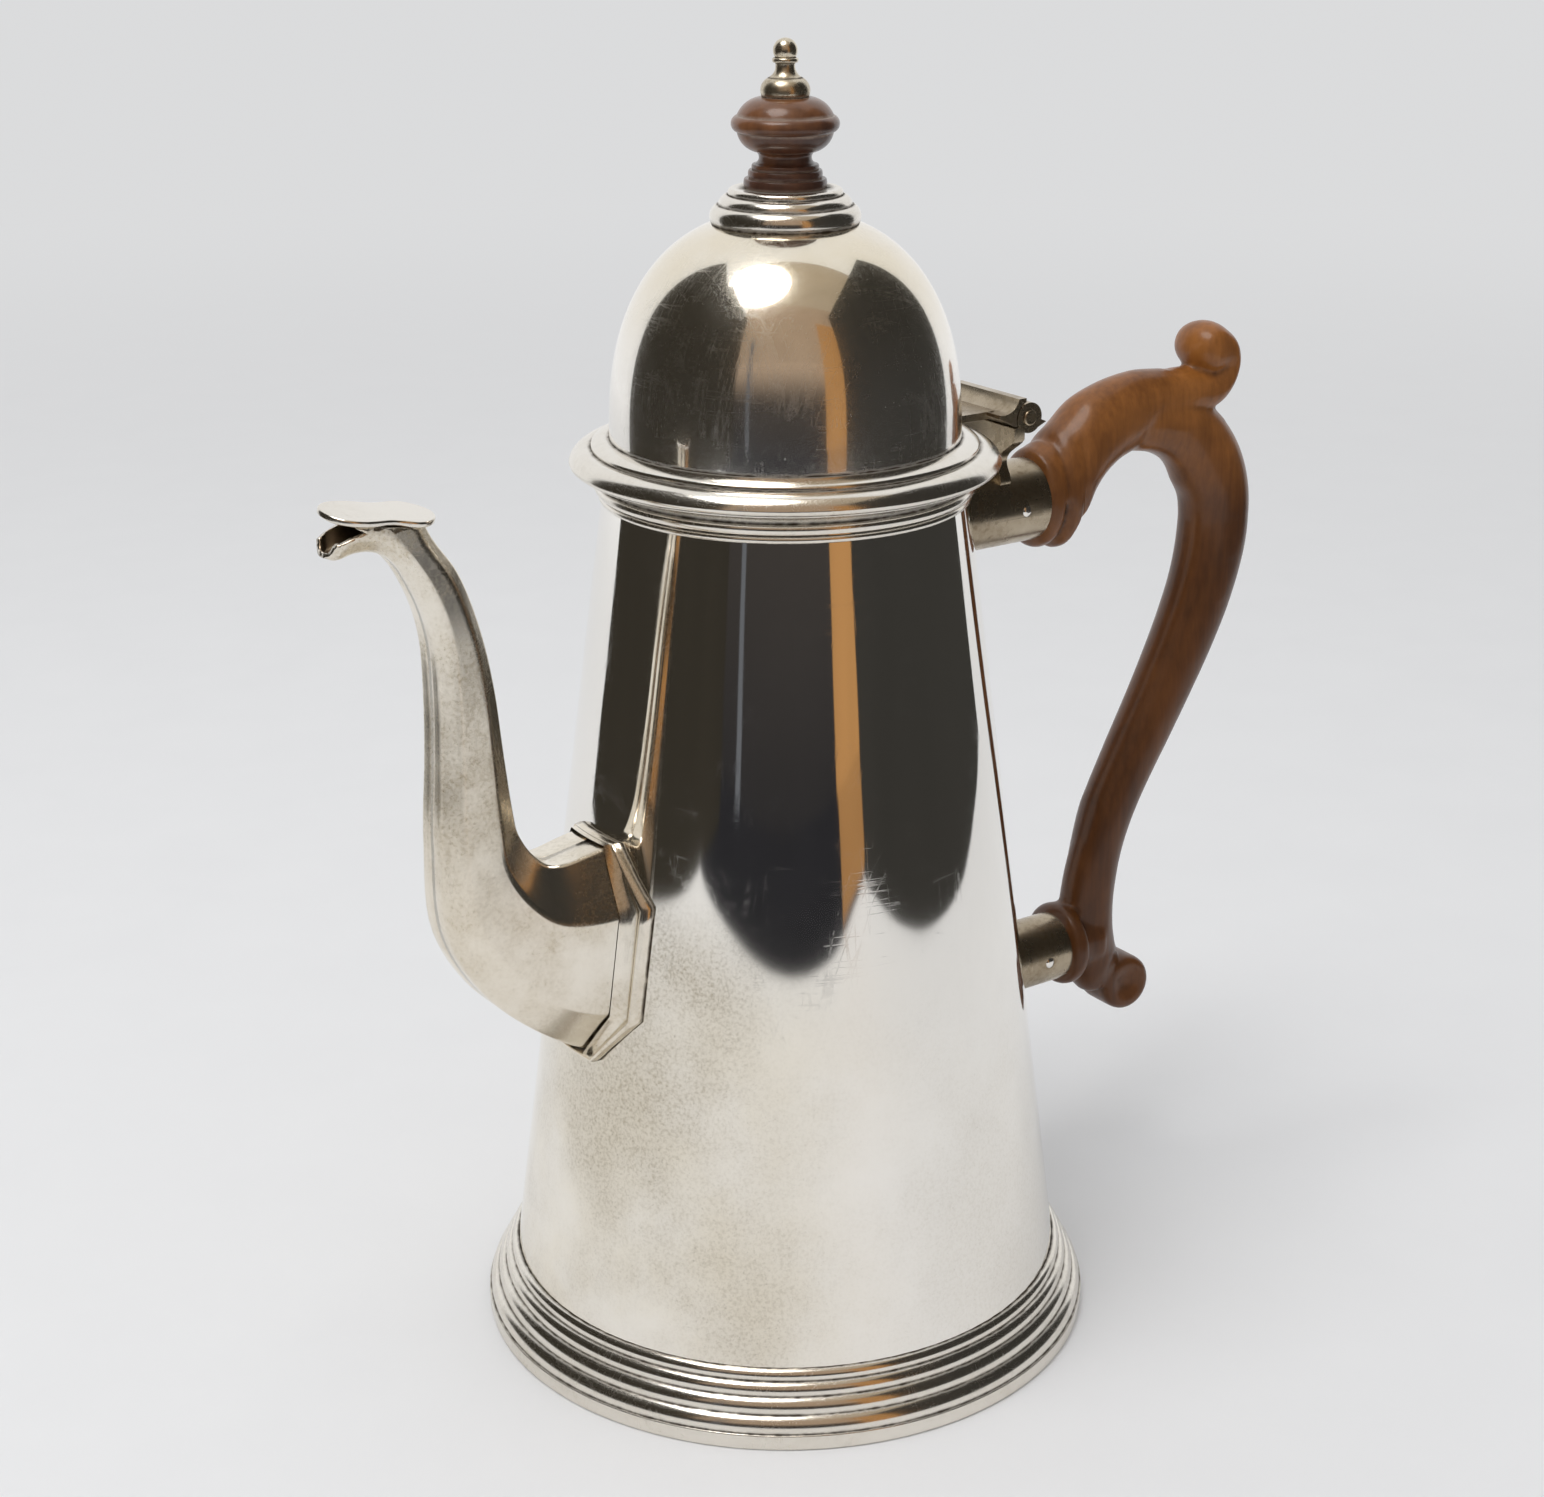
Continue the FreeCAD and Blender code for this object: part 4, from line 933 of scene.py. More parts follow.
@dataclass
class Lid:
    """The flange, the step and the dome of the lid."""

    low: float = 174.1
    shelf: float = 177.5
    bore: float = 31.85
    flange_slope: float = 2.9
    nose: float = 0.9
    nose_inset: float = 0.45
    flange_swell: float = 0.55
    step_out: float = 36.0
    step_lip: float = 0.7
    spring: float = 179.2
    dome_out: float = 32.6
    dome_rise: float = 41.0
    fullness: float = 2.4
    wall: float = 0.9
    crown_hole: float = 1.3
    gap: float = 0.05
    nose_swell: float = 0.15
    step_swell: float = 0.3
    # heights over the spring where the dome still stands upright, and where its arch begins
    upright: Triple = (0.35, 0.7, 1.2)
    arch_start: float = 1.5

    def dome_up(self, out: float, grow: float = 0.0) -> float:
        """Height of the dome's surface at a distance from the axis."""
        share = min(1.0, out / (self.dome_out + grow))
        return self.spring + (self.dome_rise + grow) * (1 - share ** self.fullness) ** (1 / self.fullness)

    def build(self, finishes: Finishes) -> None:
        """Builds the turned pieces and dresses the bezel.

        Args:
            finishes: the pot's materials.
        """
        for name, node, outline, turns, finish in (
            ("lid_brim", "lid_flange", self.flange_outline(), 180, finishes.moulding),
            ("lid_step", "lid_step_ring", self.step_outline(), 180, finishes.moulding),
            ("lid_cupola", "lid_dome", self.dome_outline(), 240, finishes.bright),
        ):
            Workshop.settle(Workshop.lathe(name, outline, turns), Body.LID, Stock.SILVER, finish, node)
        Workshop.dress("lid_bezel", finishes.worn)

    def flange_outline(self) -> Outline:
        """The heavy rounded brim that sits on the rim.

        Returns:
            The half outline.
        """
        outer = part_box("lid_flange")[1].x / MM
        outline = Outline().to(self.bore, self.low).to(outer - self.nose_inset, self.low, soft=0.2)
        outline.swell(outer, self.low + self.nose, self.nose_swell)
        outline.swell(outer - self.flange_slope, self.shelf, self.flange_swell, soft=0.25)
        return outline.to(self.step_out, self.shelf, groove=0.35).to(self.bore, self.shelf)

    def step_outline(self) -> Outline:
        """The small ring around the foot of the dome.

        Returns:
            The half outline.
        """
        inner = self.dome_out + self.gap
        outline = Outline().to(inner, self.shelf).to(self.step_out, self.shelf, groove=0.3)
        outline.to(self.step_out, self.shelf + self.step_lip, soft=0.3)
        return outline.swell(inner, self.spring, self.step_swell, groove=0.5)

    def arch(self, grow: float, count: int = 44) -> list[Vector]:
        """Points of the dome's arch from its foot to the hole at its crown.

        Args:
            grow: how far the arch is grown all round.
            count: number of points.

        Returns:
            Distance and height of each point.
        """
        power = 2.0 / self.fullness
        last = math.acos((self.crown_hole / (self.dome_out + grow)) ** (1 / power))
        rows = []
        for i in range(count):
            out = (self.dome_out + grow) * math.cos(last * i / (count - 1)) ** power
            rows.append(Vector((out, self.dome_up(out, grow))))
        return rows

    def dome_outline(self) -> Outline:
        """The raised dome, outside and inside.

        Returns:
            The half outline.
        """
        outline = Outline().to(self.dome_out - self.wall, self.shelf).to(self.dome_out, self.shelf)
        outline.to(self.dome_out, self.spring, groove=0.4)
        for rise in self.upright:
            outline.to(self.dome_out, self.spring + rise)
        outside = [point for point in self.arch(0.0) if point.y > self.spring + self.arch_start]
        for point in outside + self.arch(-self.wall)[::-1]:
            outline.to(point.x, point.y)
        return outline


@dataclass
class Finial:
    """The stepped collar, the turned knop and the cap on the crown of the lid."""

    lid: Lid
    collar_out: float = 13.4
    skirt: float = 3.3
    skirt_inset: float = 0.9
    tiers: tuple[Pair, ...] = ((1.8, 1.8), (1.0, 1.2))
    skirt_swell: float = 0.7
    tier_swell: float = 0.35
    seat_steps: int = 6
    stem_hole: float = 1.3
    knop_foot: float = 7.35
    # foot, step and ring of the knop: how far each is set in, and its rise
    knop_steps: tuple[Pair, ...] = ((0.0, 1.7), (0.8, 1.5), (0.65, 1.0))
    knop_step_swell: float = 0.18
    neck_rise: float = 2.3
    neck_hollow: float = 1.15
    # bowl, bead and crown of the knop: radius at the top, rise, swell and width of the dirt
    knop_swells: tuple[Row, ...] = ((8.7, 3.3, 0.6, 0.3), (8.7, 2.9, 1.05, 0.3), (4.2, 3.2, 0.8, 0.35))
    # bell and flare of the cap, in the same way, with dirt and painted shade in its grooves, then its ring and its
    # ball
    cap_foot: float = 4.2
    cap_swells: tuple[Row, ...] = ((3.0, 3.3, 0.75, 0.25), (1.8, 2.6, -0.5, 0.22))
    cap_ring: float = 2.15
    cap_ring_rise: float = 0.8
    cap_ring_swell: float = 0.2
    ball: float = 2.2
    ball_foot: float = 1.8
    ball_steps: int = 12
    cap_hole: float = 3.05
    gap: float = 0.05

    def build(self, finishes: Finishes) -> None:
        """Builds the turned pieces and dresses what is hidden in the dome.

        Args:
            finishes: the pot's materials.
        """
        for name, node, outline, turns, stock, finish in (
            ("finial_base", "finial_collar", self.collar_outline(), 140, Stock.SILVER, finishes.moulding),
            ("finial_turned_knop", "finial_knop", self.knop_outline(), 140, Stock.WOOD, finishes.knop),
            ("finial_tip", "finial_cap", self.cap_outline(), 96, Stock.SILVER, finishes.cap),
        ):
            Workshop.settle(Workshop.lathe(name, outline, turns), Body.LID, stock, finish, node)
        Workshop.dress("finial_stud", finishes.worn)
        Workshop.dress("finial_washer", finishes.brass)
        Workshop.dress("finial_nut", finishes.brass)

    def collar_outline(self) -> Outline:
        """The skirt and the tiers, hollow underneath to sit on the dome.

        Returns:
            The half outline.
        """
        foot = self.lid.dome_up(self.collar_out)
        outline = Outline()
        for i in range(self.seat_steps + 1):
            out = self.stem_hole + (self.collar_out - self.stem_hole) * i / self.seat_steps
            outline.to(out, self.lid.dome_up(out) + self.gap)
        outline.grooves.append((self.collar_out, foot, 0.6))
        out, up = self.collar_out - self.skirt_inset, foot + self.skirt
        outline.swell(out, up, self.skirt_swell, soft=0.15)
        for inset, rise in self.tiers:
            outline.to(out - self.tier_swell, up, groove=0.4)
            out -= inset
            up += rise
            outline.swell(out, up, self.tier_swell, soft=0.15)
        return outline.to(self.knop_foot, up, groove=0.5).to(self.stem_hole, up)

    def knop_outline(self) -> Outline:
        """Foot, step, ring, neck, bowl, bead and crown.

        Returns:
            The half outline.
        """
        out, up = self.knop_foot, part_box("finial_knop")[0].z / MM
        outline = Outline().to(self.stem_hole, up).to(out, up, groove=0.4)
        for inset, rise in self.knop_steps:
            if inset > 0:
                out -= inset
                outline.to(out, up, groove=0.35)
            up += rise
            outline.swell(out, up, self.knop_step_swell, soft=0.15)
        up += self.neck_rise
        outline.swell(out, up, -self.neck_hollow, groove=0.3)
        for out, rise, swell, groove in self.knop_swells:
            up += rise
            outline.swell(out, up, swell, groove=groove)
        return outline.to(self.stem_hole, up)

    def cap_outline(self) -> Outline:
        """Bell, flare, waist, ring and ball.

        Returns:
            The half outline.
        """
        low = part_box("finial_cap")[0].z / MM
        outline = Outline().to(self.stem_hole, low).to(self.cap_foot, low, groove=0.3)
        up = low
        for out, rise, swell, groove in self.cap_swells:
            up += rise
            outline.swell(out, up, swell, groove=groove)
        outline.to(self.cap_ring, up)
        up += self.cap_ring_rise
        outline.swell(self.cap_ring, up, self.cap_ring_swell).to(self.ball_foot, up, groove=0.25)
        up += math.sqrt(self.ball ** 2 - self.ball_foot ** 2)
        first = -math.acos(self.ball_foot / self.ball)
        for i in range(1, self.ball_steps + 1):
            turn = first + (math.pi / 2 - first) * i / self.ball_steps
            outline.to(self.ball * math.cos(turn), up + self.ball * math.sin(turn))
        return outline.to(0.0, low + self.cap_hole).to(self.stem_hole, low + self.cap_hole)


@dataclass
class Hinge:
    """The two leaves and the pin behind the lid."""

    edge: float = 0.28
    pin_edge: float = 0.35
    bracket_low: float = 163.6
    bracket_high: float = 173.5
    bracket_waist: float = 0.46

    def draw_in(self, bm: Mesh) -> None:
        """Draws in the waist of the bracket between its foot and its shoulders.

        Args:
            bm: the leaf on the pot.
        """
        for vert in bm.verts:
            share = (vert.co.z / MM - self.bracket_low) / (self.bracket_high - self.bracket_low)
            if 0.0 < share < 1.0:
                vert.co.y *= 1.0 - self.bracket_waist * math.sin(math.pi * share) ** 1.5

    def build(self, finishes: Finishes) -> None:
        """Builds both leaves and the pin with eased edges.

        Args:
            finishes: the pot's materials.
        """
        for name, node, body, edge, shape in (
            ("hinge_leaf_on_lid", "hinge_lid_leaf", Body.LID, self.edge, None),
            ("hinge_leaf_on_pot", "hinge_body_leaf", Body.POT, self.edge, self.draw_in),
            ("hinge_rod", "hinge_pin", Body.POT, self.pin_edge, None),
        ):
            Workshop.settle(Workshop.softened(name, node, edge, shape), body, Stock.SILVER, finishes.worn, node)


@dataclass
class Handle:
    """The carved wooden handle, its sockets and their pins."""

    socket_edge: float = 0.12
    rivet_edge: float = 0.35
    rivet_swell: float = 0.12
    voxel: float = 0.55
    # rounds of smoothing: all over, on the limb and in the bend under the arm
    rounds: int = 6
    limb_rounds: int = 24
    bend_rounds: int = 8
    # limb: where it starts outwards, and its lowest and highest point
    limb_from: float = 80.0
    limb_span: Pair = (55.0, 168.0)
    # bend: its reach as a multiple of the arch's radius, and where it starts outwards
    bend_reach: float = 1.5
    bend_from: float = 71.0
    # scrolls: out, up, radius, depth of the dished end, share of the width that is kept
    scrolls: tuple[tuple[float, ...], ...] = ((105.6, 183.6, 4.6, 0.9, 1.0), (87.4, 46.4, 5.6, 1.8, 0.80))
    scroll_reach: float = 1.6
    eye_share: float = 0.82
    eye_side: float = 0.75
    # arch under the arm: middle out and up, radius, and how much wider it is towards the pot
    arch: Row = (88.0, 151.2, 12.0, 2.2)
    # its slices over half a turn, the nearest and furthest wood that counts, the most that a slice starts at,
    # half the width that it is read over, and the lean over which the bend sets in
    arch_slices: int = 60
    arch_span: Pair = (6.0, 30.0)
    arch_most: float = 25.0
    arch_middle: float = 2.0
    arch_ease: float = 0.35
    # saw cut under the plain scroll: a point on it and its direction
    saw_point: Triple = (100.0, 0.0, 178.0)
    saw_way: Triple = (0.35, 0.0, 0.94)
    # roll: out, up, half depth and half width, from the arm's end round to the thumb scroll
    roll: tuple[Row, ...] = (
        (92.0, 173.6, 5.6, 5.2), (97.0, 174.7, 5.3, 5.4), (101.5, 174.9, 4.9, 5.6), (105.8, 175.2, 4.4, 5.8),
        (108.5, 177.4, 3.6, 5.8), (109.6, 180.4, 3.0, 5.9), (108.3, 182.9, 3.8, 6.4), (105.2, 183.6, 5.3, 7.1),
    )
    # limb: height, and how far the wood is filled out there; outwards it sets in over a short fade
    fills: tuple[Pair, ...] = (
        (40.0, 0.7), (60.0, 0.75), (72.0, 1.1), (100.0, 1.15), (112.0, 0.9), (128.0, 0.7), (140.0, 0.3),
        (147.0, 0.0),
    )
    fill_from: float = 76.5
    fill_fade: float = 4.0
    # shoulder of the arm: its lowest point, where it starts and ends outwards with the widths of its fades,
    # and how far it is moved
    shoulder_low: float = 148.0
    shoulder_start: Pair = (66.0, 8.0)
    shoulder_end: Pair = (97.0, 10.0)
    shoulder_shift: Triple = (-1.2, 0.0, 0.8)
    # grooves: out, up and reach of the ring, and its depth; then the core they leave, their width and span
    rings: tuple[Row, ...] = ((63.0, 158.3, 13.0, 0.9), (67.7, 158.3, 13.0, 0.7))
    ring_core: float = 4.0
    ring_width: float = 0.8
    ring_span: float = 3.0

    def build(self, finishes: Finishes) -> None:
        """Builds the sockets, the pins and the wood.

        Args:
            finishes: the pot's materials.
        """
        for node, name in (("upper_socket", "socket_tube_high"), ("lower_socket", "socket_tube_low")):
            tube = Workshop.softened(name, node, self.socket_edge)
            Workshop.settle(tube, Body.POT, Stock.SILVER, finishes.worn, node)
        for node, name in (("upper_socket_pin", "socket_rivet_high"), ("lower_socket_pin", "socket_rivet_low")):
            Workshop.settle(self.rivet(name, node), Body.POT, Stock.SILVER, finishes.bright, node)
        Workshop.settle(self.carve("handle_carved"), Body.POT, Stock.WOOD, finishes.handle, "handle")

    def carve(self, name: str) -> Piece:
        """Blends the solids of the handle into one carved form.

        Args:
            name: the piece's name.

        Returns:
            The new object, with its hollows noted on its points.
        """
        bm = Workshop.solid_of("handle")
        self.roll_end(bm)
        block = Workshop.object_from("handle_block", bm)
        remesh = block.modifiers.new("Blend", "REMESH")
        remesh.mode = "VOXEL"
        remesh.voxel_size = self.voxel * MM
        graph = bpy.context.evaluated_depsgraph_get()
        blended = bpy.data.meshes.new_from_object(block.evaluated_get(graph))
        bpy.data.objects.remove(block)
        bm = bmesh.new()
        bm.from_mesh(blended)
        bpy.data.meshes.remove(blended)
        bm.normal_update()
        self.cut_rings(bm)
        self.hollow_eyes(bm)
        self.round_arch(bm)
        Workshop.relax(bm, bm.verts, self.rounds)
        low, high = (height * MM for height in self.limb_span)
        limb = [v for v in bm.verts if v.co.x > self.limb_from * MM and low < v.co.z < high]
        out, up, radius, _ = self.arch
        middle, reach = Vector((out, 0.0, up)) * MM, self.bend_reach * radius * MM
        bend = [v for v in bm.verts if (v.co - middle).length < reach and v.co.x > self.bend_from * MM]
        Workshop.relax(bm, limb, self.limb_rounds)
        Workshop.relax(bm, bend, self.bend_rounds)
        bm.normal_update()
        self.fill_out(bm)
        bm.normal_update()
        # these hollows carry the wood's painted shade, with grime, in its creases and dished eyes
        depths = self.hollows(bm)
        piece = Workshop.object_from(name, bm, sharp=180.0)
        Workshop.note_depths(piece, depths)
        return piece

    def roll_end(self, bm: Mesh, steps: int = 4) -> None:
        """Takes off the plain scroll over the arm and rolls the arm's end up into a rounded one.

        Args:
            bm: the wood.
            steps: rounded blocks between two rows of the roll.
        """
        Workshop.cut(bm, Vector(self.saw_point), Vector(self.saw_way))
        bmesh.ops.holes_fill(bm, edges=[e for e in bm.edges if e.is_boundary], sides=0)
        for i in range((len(self.roll) - 1) * steps + 1):
            out, up, deep, wide = smooth_row(self.roll, i / steps)
            size = Matrix.Diagonal((deep * MM, wide * MM, deep * MM, 1.0))
            bmesh.ops.create_uvsphere(
                bm, u_segments=24, v_segments=16, radius=1.0,
                matrix=Matrix.Translation(Vector((out, 0.0, up)) * MM) @ size,
            )

    def fill_out(self, bm: Mesh) -> None:
        """Gives the limb back the wood that the smoothing took, and lifts the arm's shoulder.

        Args:
            bm: the wood.
        """
        (start, start_fade), (end, end_fade) = self.shoulder_start, self.shoulder_end
        for vert in bm.verts:
            out, up = vert.co.x / MM, vert.co.z / MM
            for (low, thin), (high, thick) in zip(self.fills, self.fills[1:]):
                if low <= up < high:
                    past = share_of((out - self.fill_from) / self.fill_fade)
                    vert.co += vert.normal * ((thin + (thick - thin) * (up - low) / (high - low)) * past * MM)
            if up > self.shoulder_low:
                share = share_of((out - start) / start_fade) * share_of((end - out) / end_fade)
                vert.co += Vector(self.shoulder_shift) * (gentle(share) * MM)

    def rivet(self, name: str, node: str) -> Piece:
        """A pin with domed heads, through a socket and its tenon.

        Args:
            name: the piece's name.
            node: the node of the pin.

        Returns:
            The new object.
        """
        low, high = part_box(node)
        half, body = (high.y - low.y) / 2 / MM, (high.x - low.x) / 2 / MM
        outline = Outline().to(0.0, -half).swell(body, self.rivet_edge - half, self.rivet_swell)
        outline.to(body, half - self.rivet_edge).swell(0.0, half, self.rivet_swell)
        place = Matrix.Translation((low + high) / 2) @ Matrix.Rotation(math.pi / 2, 4, "X")
        return Workshop.lathe(name, outline, 40, place)

    def cut_rings(self, bm: Mesh) -> None:
        """Cuts the grooves beside the beads of the upper collar.

        Args:
            bm: the wood.
        """
        for out, up, reach, depth in self.rings:
            for vert in bm.verts:
                along = vert.co.x / MM - out
                lift = vert.co.z / MM - up
                away = math.hypot(vert.co.y / MM, lift)
                if abs(along) < self.ring_span and self.ring_core < away < reach:
                    sunk = depth * math.exp(-(along / self.ring_width) ** 2) * MM / away
                    vert.co.y -= vert.co.y / MM * sunk
                    vert.co.z -= lift * sunk

    def round_arch(self, bm: Mesh, reach: float = 10.0) -> None:
        """Bends the wood so that the arch between the arm and the loop runs round.

        Args:
            bm: the wood.
            reach: how deep into the wood the bend is felt.
        """
        out, up, radius, wider = self.arch
        near, far = self.arch_span
        count = self.arch_slices
        gaps = {v: Vector((v.co.x / MM - out, v.co.z / MM - up)) for v in bm.verts}
        turns = {v: math.degrees(math.atan2(gap.y, gap.x)) / (180 / count) for v, gap in gaps.items()}
        inner = [self.arch_most] * (count + 1)
        for vert, gap in gaps.items():
            if abs(vert.co.y) < self.arch_middle * MM and 0 <= turns[vert] < count and gap.length > near:
                inner[int(turns[vert])] = min(inner[int(turns[vert])], gap.length)
        inner[count] = inner[count - 1]
        for _ in range(3):
            windows = [inner[max(0, i - 1):i + 2] for i in range(count + 1)]
            inner = [sum(window) / len(window) for window in windows]
        for vert, gap in gaps.items():
            turn = turns[vert]
            if not 0 < turn < count or gap.length > far:
                continue
            first, second = inner[int(turn):int(turn) + 2]
            now = first + (second - first) * (turn % 1)
            lean = gap.normalized()
            goal = radius + wider * max(0.0, -lean.x) ** 2
            depth = share_of((gap.length - now) / reach)
            fade = (1 - depth * depth) ** 2 * gentle(min(1.0, lean.y / self.arch_ease))
            move = lean * ((goal - now) * fade * MM)
            vert.co += Vector((move.x, 0.0, move.y))

    def hollow_eyes(self, bm: Mesh) -> None:
        """Dishes the ends of both scrolls, so that each keeps a raised lip.

        Args:
            bm: the wood.
        """
        for out, up, radius, depth, kept in self.scrolls:
            reach = {v: math.hypot(v.co.x / MM - out, v.co.z / MM - up) / radius for v in bm.verts}
            near = [v for v in bm.verts if reach[v] < self.scroll_reach]
            for vert in near:
                vert.co.y *= 1 - (1 - kept) * (1 - (reach[vert] / self.scroll_reach) ** 4)
            side = max(abs(vert.co.y) for vert in near)
            for vert in near:
                share = reach[vert] / self.eye_share
                if share < 1.0 and abs(vert.co.y) > side * self.eye_side:
                    vert.co.y -= math.copysign(depth * (1 - share * share) * MM, vert.co.y)

    @staticmethod
    def hollows(bm: Mesh, rounds: int = 10, full: float = 0.34) -> list[float]:
        """How far each point lies below its smoothed surroundings.

        Args:
            bm: the mesh, left as it is.
            rounds: rounds of smoothing for the surroundings.
            full: the depth that counts as a full groove.

        Returns:
            A value from 0 to 1 for each point.
        """
        calm = bm.copy()
        Workshop.relax(calm, calm.verts, rounds)
        sunk = [(other.co - vert.co).dot(vert.normal) / MM for vert, other in zip(bm.verts, calm.verts)]
        calm.free()
        return [share_of(depth / full) for depth in sunk]


@dataclass
class Spout:
    """The faceted swan neck in two halves, its border and its lip plate."""

    body: BodyAndFoot
    up: float = 88.0
    wall: float = 0.9
    arris: float = 1.3
    rings: int = 84
    beak: float = 38.5
    beak_rounds: int = 12
    flat_steps: int = 4
    tip_from: float = 45.0
    tip_round: float = 0.075
    side_start: float = 0.24
    side_end: float = 0.71
    seam: float = 0.02
    # stations: front out and up, back out and up, half width at the sides, at the front and at the back
    stations: tuple[tuple[float, ...], ...] = (
        (-3.5, -21.0, -9.0, 22.5, 12.0, 5.4, 5.6),
        (6.0, -18.2, 3.2, 20.2, 11.3, 5.3, 5.6),
        (14.6, -12.6, 9.6, 19.4, 10.1, 5.0, 5.0),
        (24.4, -3.2, 13.3, 21.9, 8.5, 4.5, 4.1),
        (30.9, 8.8, 15.7, 25.8, 7.2, 3.9, 3.5),
        (32.0, 27.2, 16.8, 30.8, 6.3, 3.4, 3.2),
        (31.2, 42.3, 18.1, 42.5, 5.8, 3.1, 2.9),
        (30.8, 55.0, 19.4, 55.0, 5.6, 3.1, 2.7),
        (31.3, 65.5, 21.6, 66.0, 5.4, 3.0, 2.5),
        (34.0, 74.3, 25.6, 77.2, 5.1, 2.8, 2.4),
        (37.2, 80.0, 30.4, 84.3, 4.9, 2.7, 2.4),
        (40.8, 82.7, 34.5, 93.0, 4.8, 2.6, 2.4),
        (45.4, 83.1, 44.0, 97.0, 4.7, 2.6, 2.4),
        (48.6, 82.4, 48.2, 98.0, 4.6, 2.5, 2.4),
        (49.8, 83.1, 49.8, 99.0, 4.3, 2.3, 2.3),
    )
    plate_out: float = 28.5
    plate_up: float = 87.7
    plate_tilt: float = 8.8
    plate_thickness: float = 1.2
    notch_out: float = 43.6
    notch_up: float = 87.2
    notch_rise: float = 0.55
    jaw_out: float = 45.2
    lip_fall: float = 0.38
    plate_roll: float = 8.0
    plate_edge: float = 0.42
    plate_points: int = 96
    # cut edges of the beak shorter than this are merged
    crumb: float = 0.28
    # plate outline: along it from its rear tip, and half width there
    plate: tuple[Pair, ...] = (
        (0.0, 0.0), (0.9, 2.7), (4.0, 5.3), (9.6, 4.5), (15.2, 5.3), (18.8, 4.4), (20.6, 2.4), (21.1, 0.0),
    )
    # border: share of the way out to its edge, and height over the cone
    moulding: tuple[Pair, ...] = (
        (0.0, 0.05), (0.0, 3.1), (0.10, 2.1), (0.24, 1.45), (0.40, 1.15), (0.54, 1.30), (0.64, 1.75), (0.74, 1.95),
        (0.86, 1.85), (0.95, 1.40), (1.0, 0.75), (1.0, 0.05),
    )
    # how far the border passes the spout's root, sideways and upwards: front, both sides and back
    border_wide: Row = (1.2, 4.3, 4.3, 1.2)
    border_rise: Row = (-1.7, -0.68, 2.0, 0.1)
    # width of the dirt and painted shade along the border's joints with the cone
    border_dirt_and_shade: float = 0.45

    def build(self, finishes: Finishes) -> None:
        """Builds both halves, the border and the plate.

        Args:
            finishes: the pot's materials.
        """
        for side, node, name in (
            (-1, "spout_left_half", "spout_neck_left"), (1, "spout_right_half", "spout_neck_right"),
        ):
            half = self.half(name, side)
            half.data.materials.append(finishes.spout)
            half.data.materials.append(finishes.inside)
            Workshop.settle(half, Body.POT, Stock.SILVER, finishes.spout, node)
        border, plate = self.border("spout_border"), self.cover("spout_lip_cover")
        Workshop.settle(border, Body.POT, Stock.SILVER, finishes.spout, "spout_base_flange")
        Workshop.settle(plate, Body.POT, Stock.SILVER, finishes.moulding, "spout_lip_plate")

    def at(self, out: float, up: float) -> Vector:
        """A place on the middle plane, by its distance from the cone and its height over the spout's own."""
        return Vector((-self.body.radius(self.up) - out, 0.0, self.up + up))

    @staticmethod
    def row_of(index: int) -> int:
        """Which of the four rows, from the front to the back, one of the eight corners is in."""
        return index if index < 4 else 7 - index

    def corner(self, index: int, place: float) -> Vector:
        """One of the eight corners of the section along the neck, in millimetres.

        Args:
            index: which corner, from the front round to the back and round again.
            place: where along the neck; whole numbers are the stations.

        Returns:
            The corner's place.
        """
        front_out, front_up, back_out, back_up, half, front_half, back_half = smooth_row(self.stations, place)
        row = self.row_of(index)
        front = self.at(front_out, front_up)
        point = front + (self.at(back_out, back_up) - front) * (0.0, self.side_start, self.side_end, 1.0)[row]
        wide = (front_half, half, half, back_half)[row]
        point.y = wide if index < 4 else -wide
        return point

    def root_place(self, index: int) -> float:
        """Where along the neck one corner leaves the cone.

        Args:
            index: which corner.

        Returns:
            The place; whole numbers are the stations.
        """
        inside, outside = 0.0, 2.0
        for _ in range(40):
            middle = (inside + outside) / 2
            point = self.corner(index, middle)
            if math.hypot(point.x, point.y) > self.body.radius(point.z) + self.body.gap:
                outside = middle
            else:
                inside = middle
        return outside

    def shell(self) -> Mesh:
        """The skin of the whole neck with softened arrises, not yet cut.

        Returns:
            The open skin.
        """
        bm = bmesh.new()
        last = len(self.stations) - 1
        roots = [self.root_place(index) for index in range(8)]
        before: list[bmesh.types.BMEdge] = []
        on_arris: set[bmesh.types.BMVert] = set()
        for ring in range(self.rings + 1):
            share = ring / self.rings
            corners = [self.corner(index, root + (last - root) * share) for index, root in enumerate(roots)]
            verts = []
            for first, second in zip(corners, corners[1:] + corners[:1]):
                for step in range(self.flat_steps):
                    verts.append(bm.verts.new(first.lerp(second, step / self.flat_steps) * MM))
                on_arris.add(verts[-self.flat_steps])
            edges = [bm.edges.new(pair) for pair in zip(verts, verts[1:] + verts[:1])]
            if before:
                bmesh.ops.bridge_loops(bm, edges=before + edges)
            before = edges
        bmesh.ops.recalc_face_normals(bm, faces=bm.faces)
        arrises = [e for e in bm.edges if all(v in on_arris for v in e.verts)]
        Workshop.ease_edges(bm, arrises, self.arris, 4)
        self.round_beak(bm)
        return bm

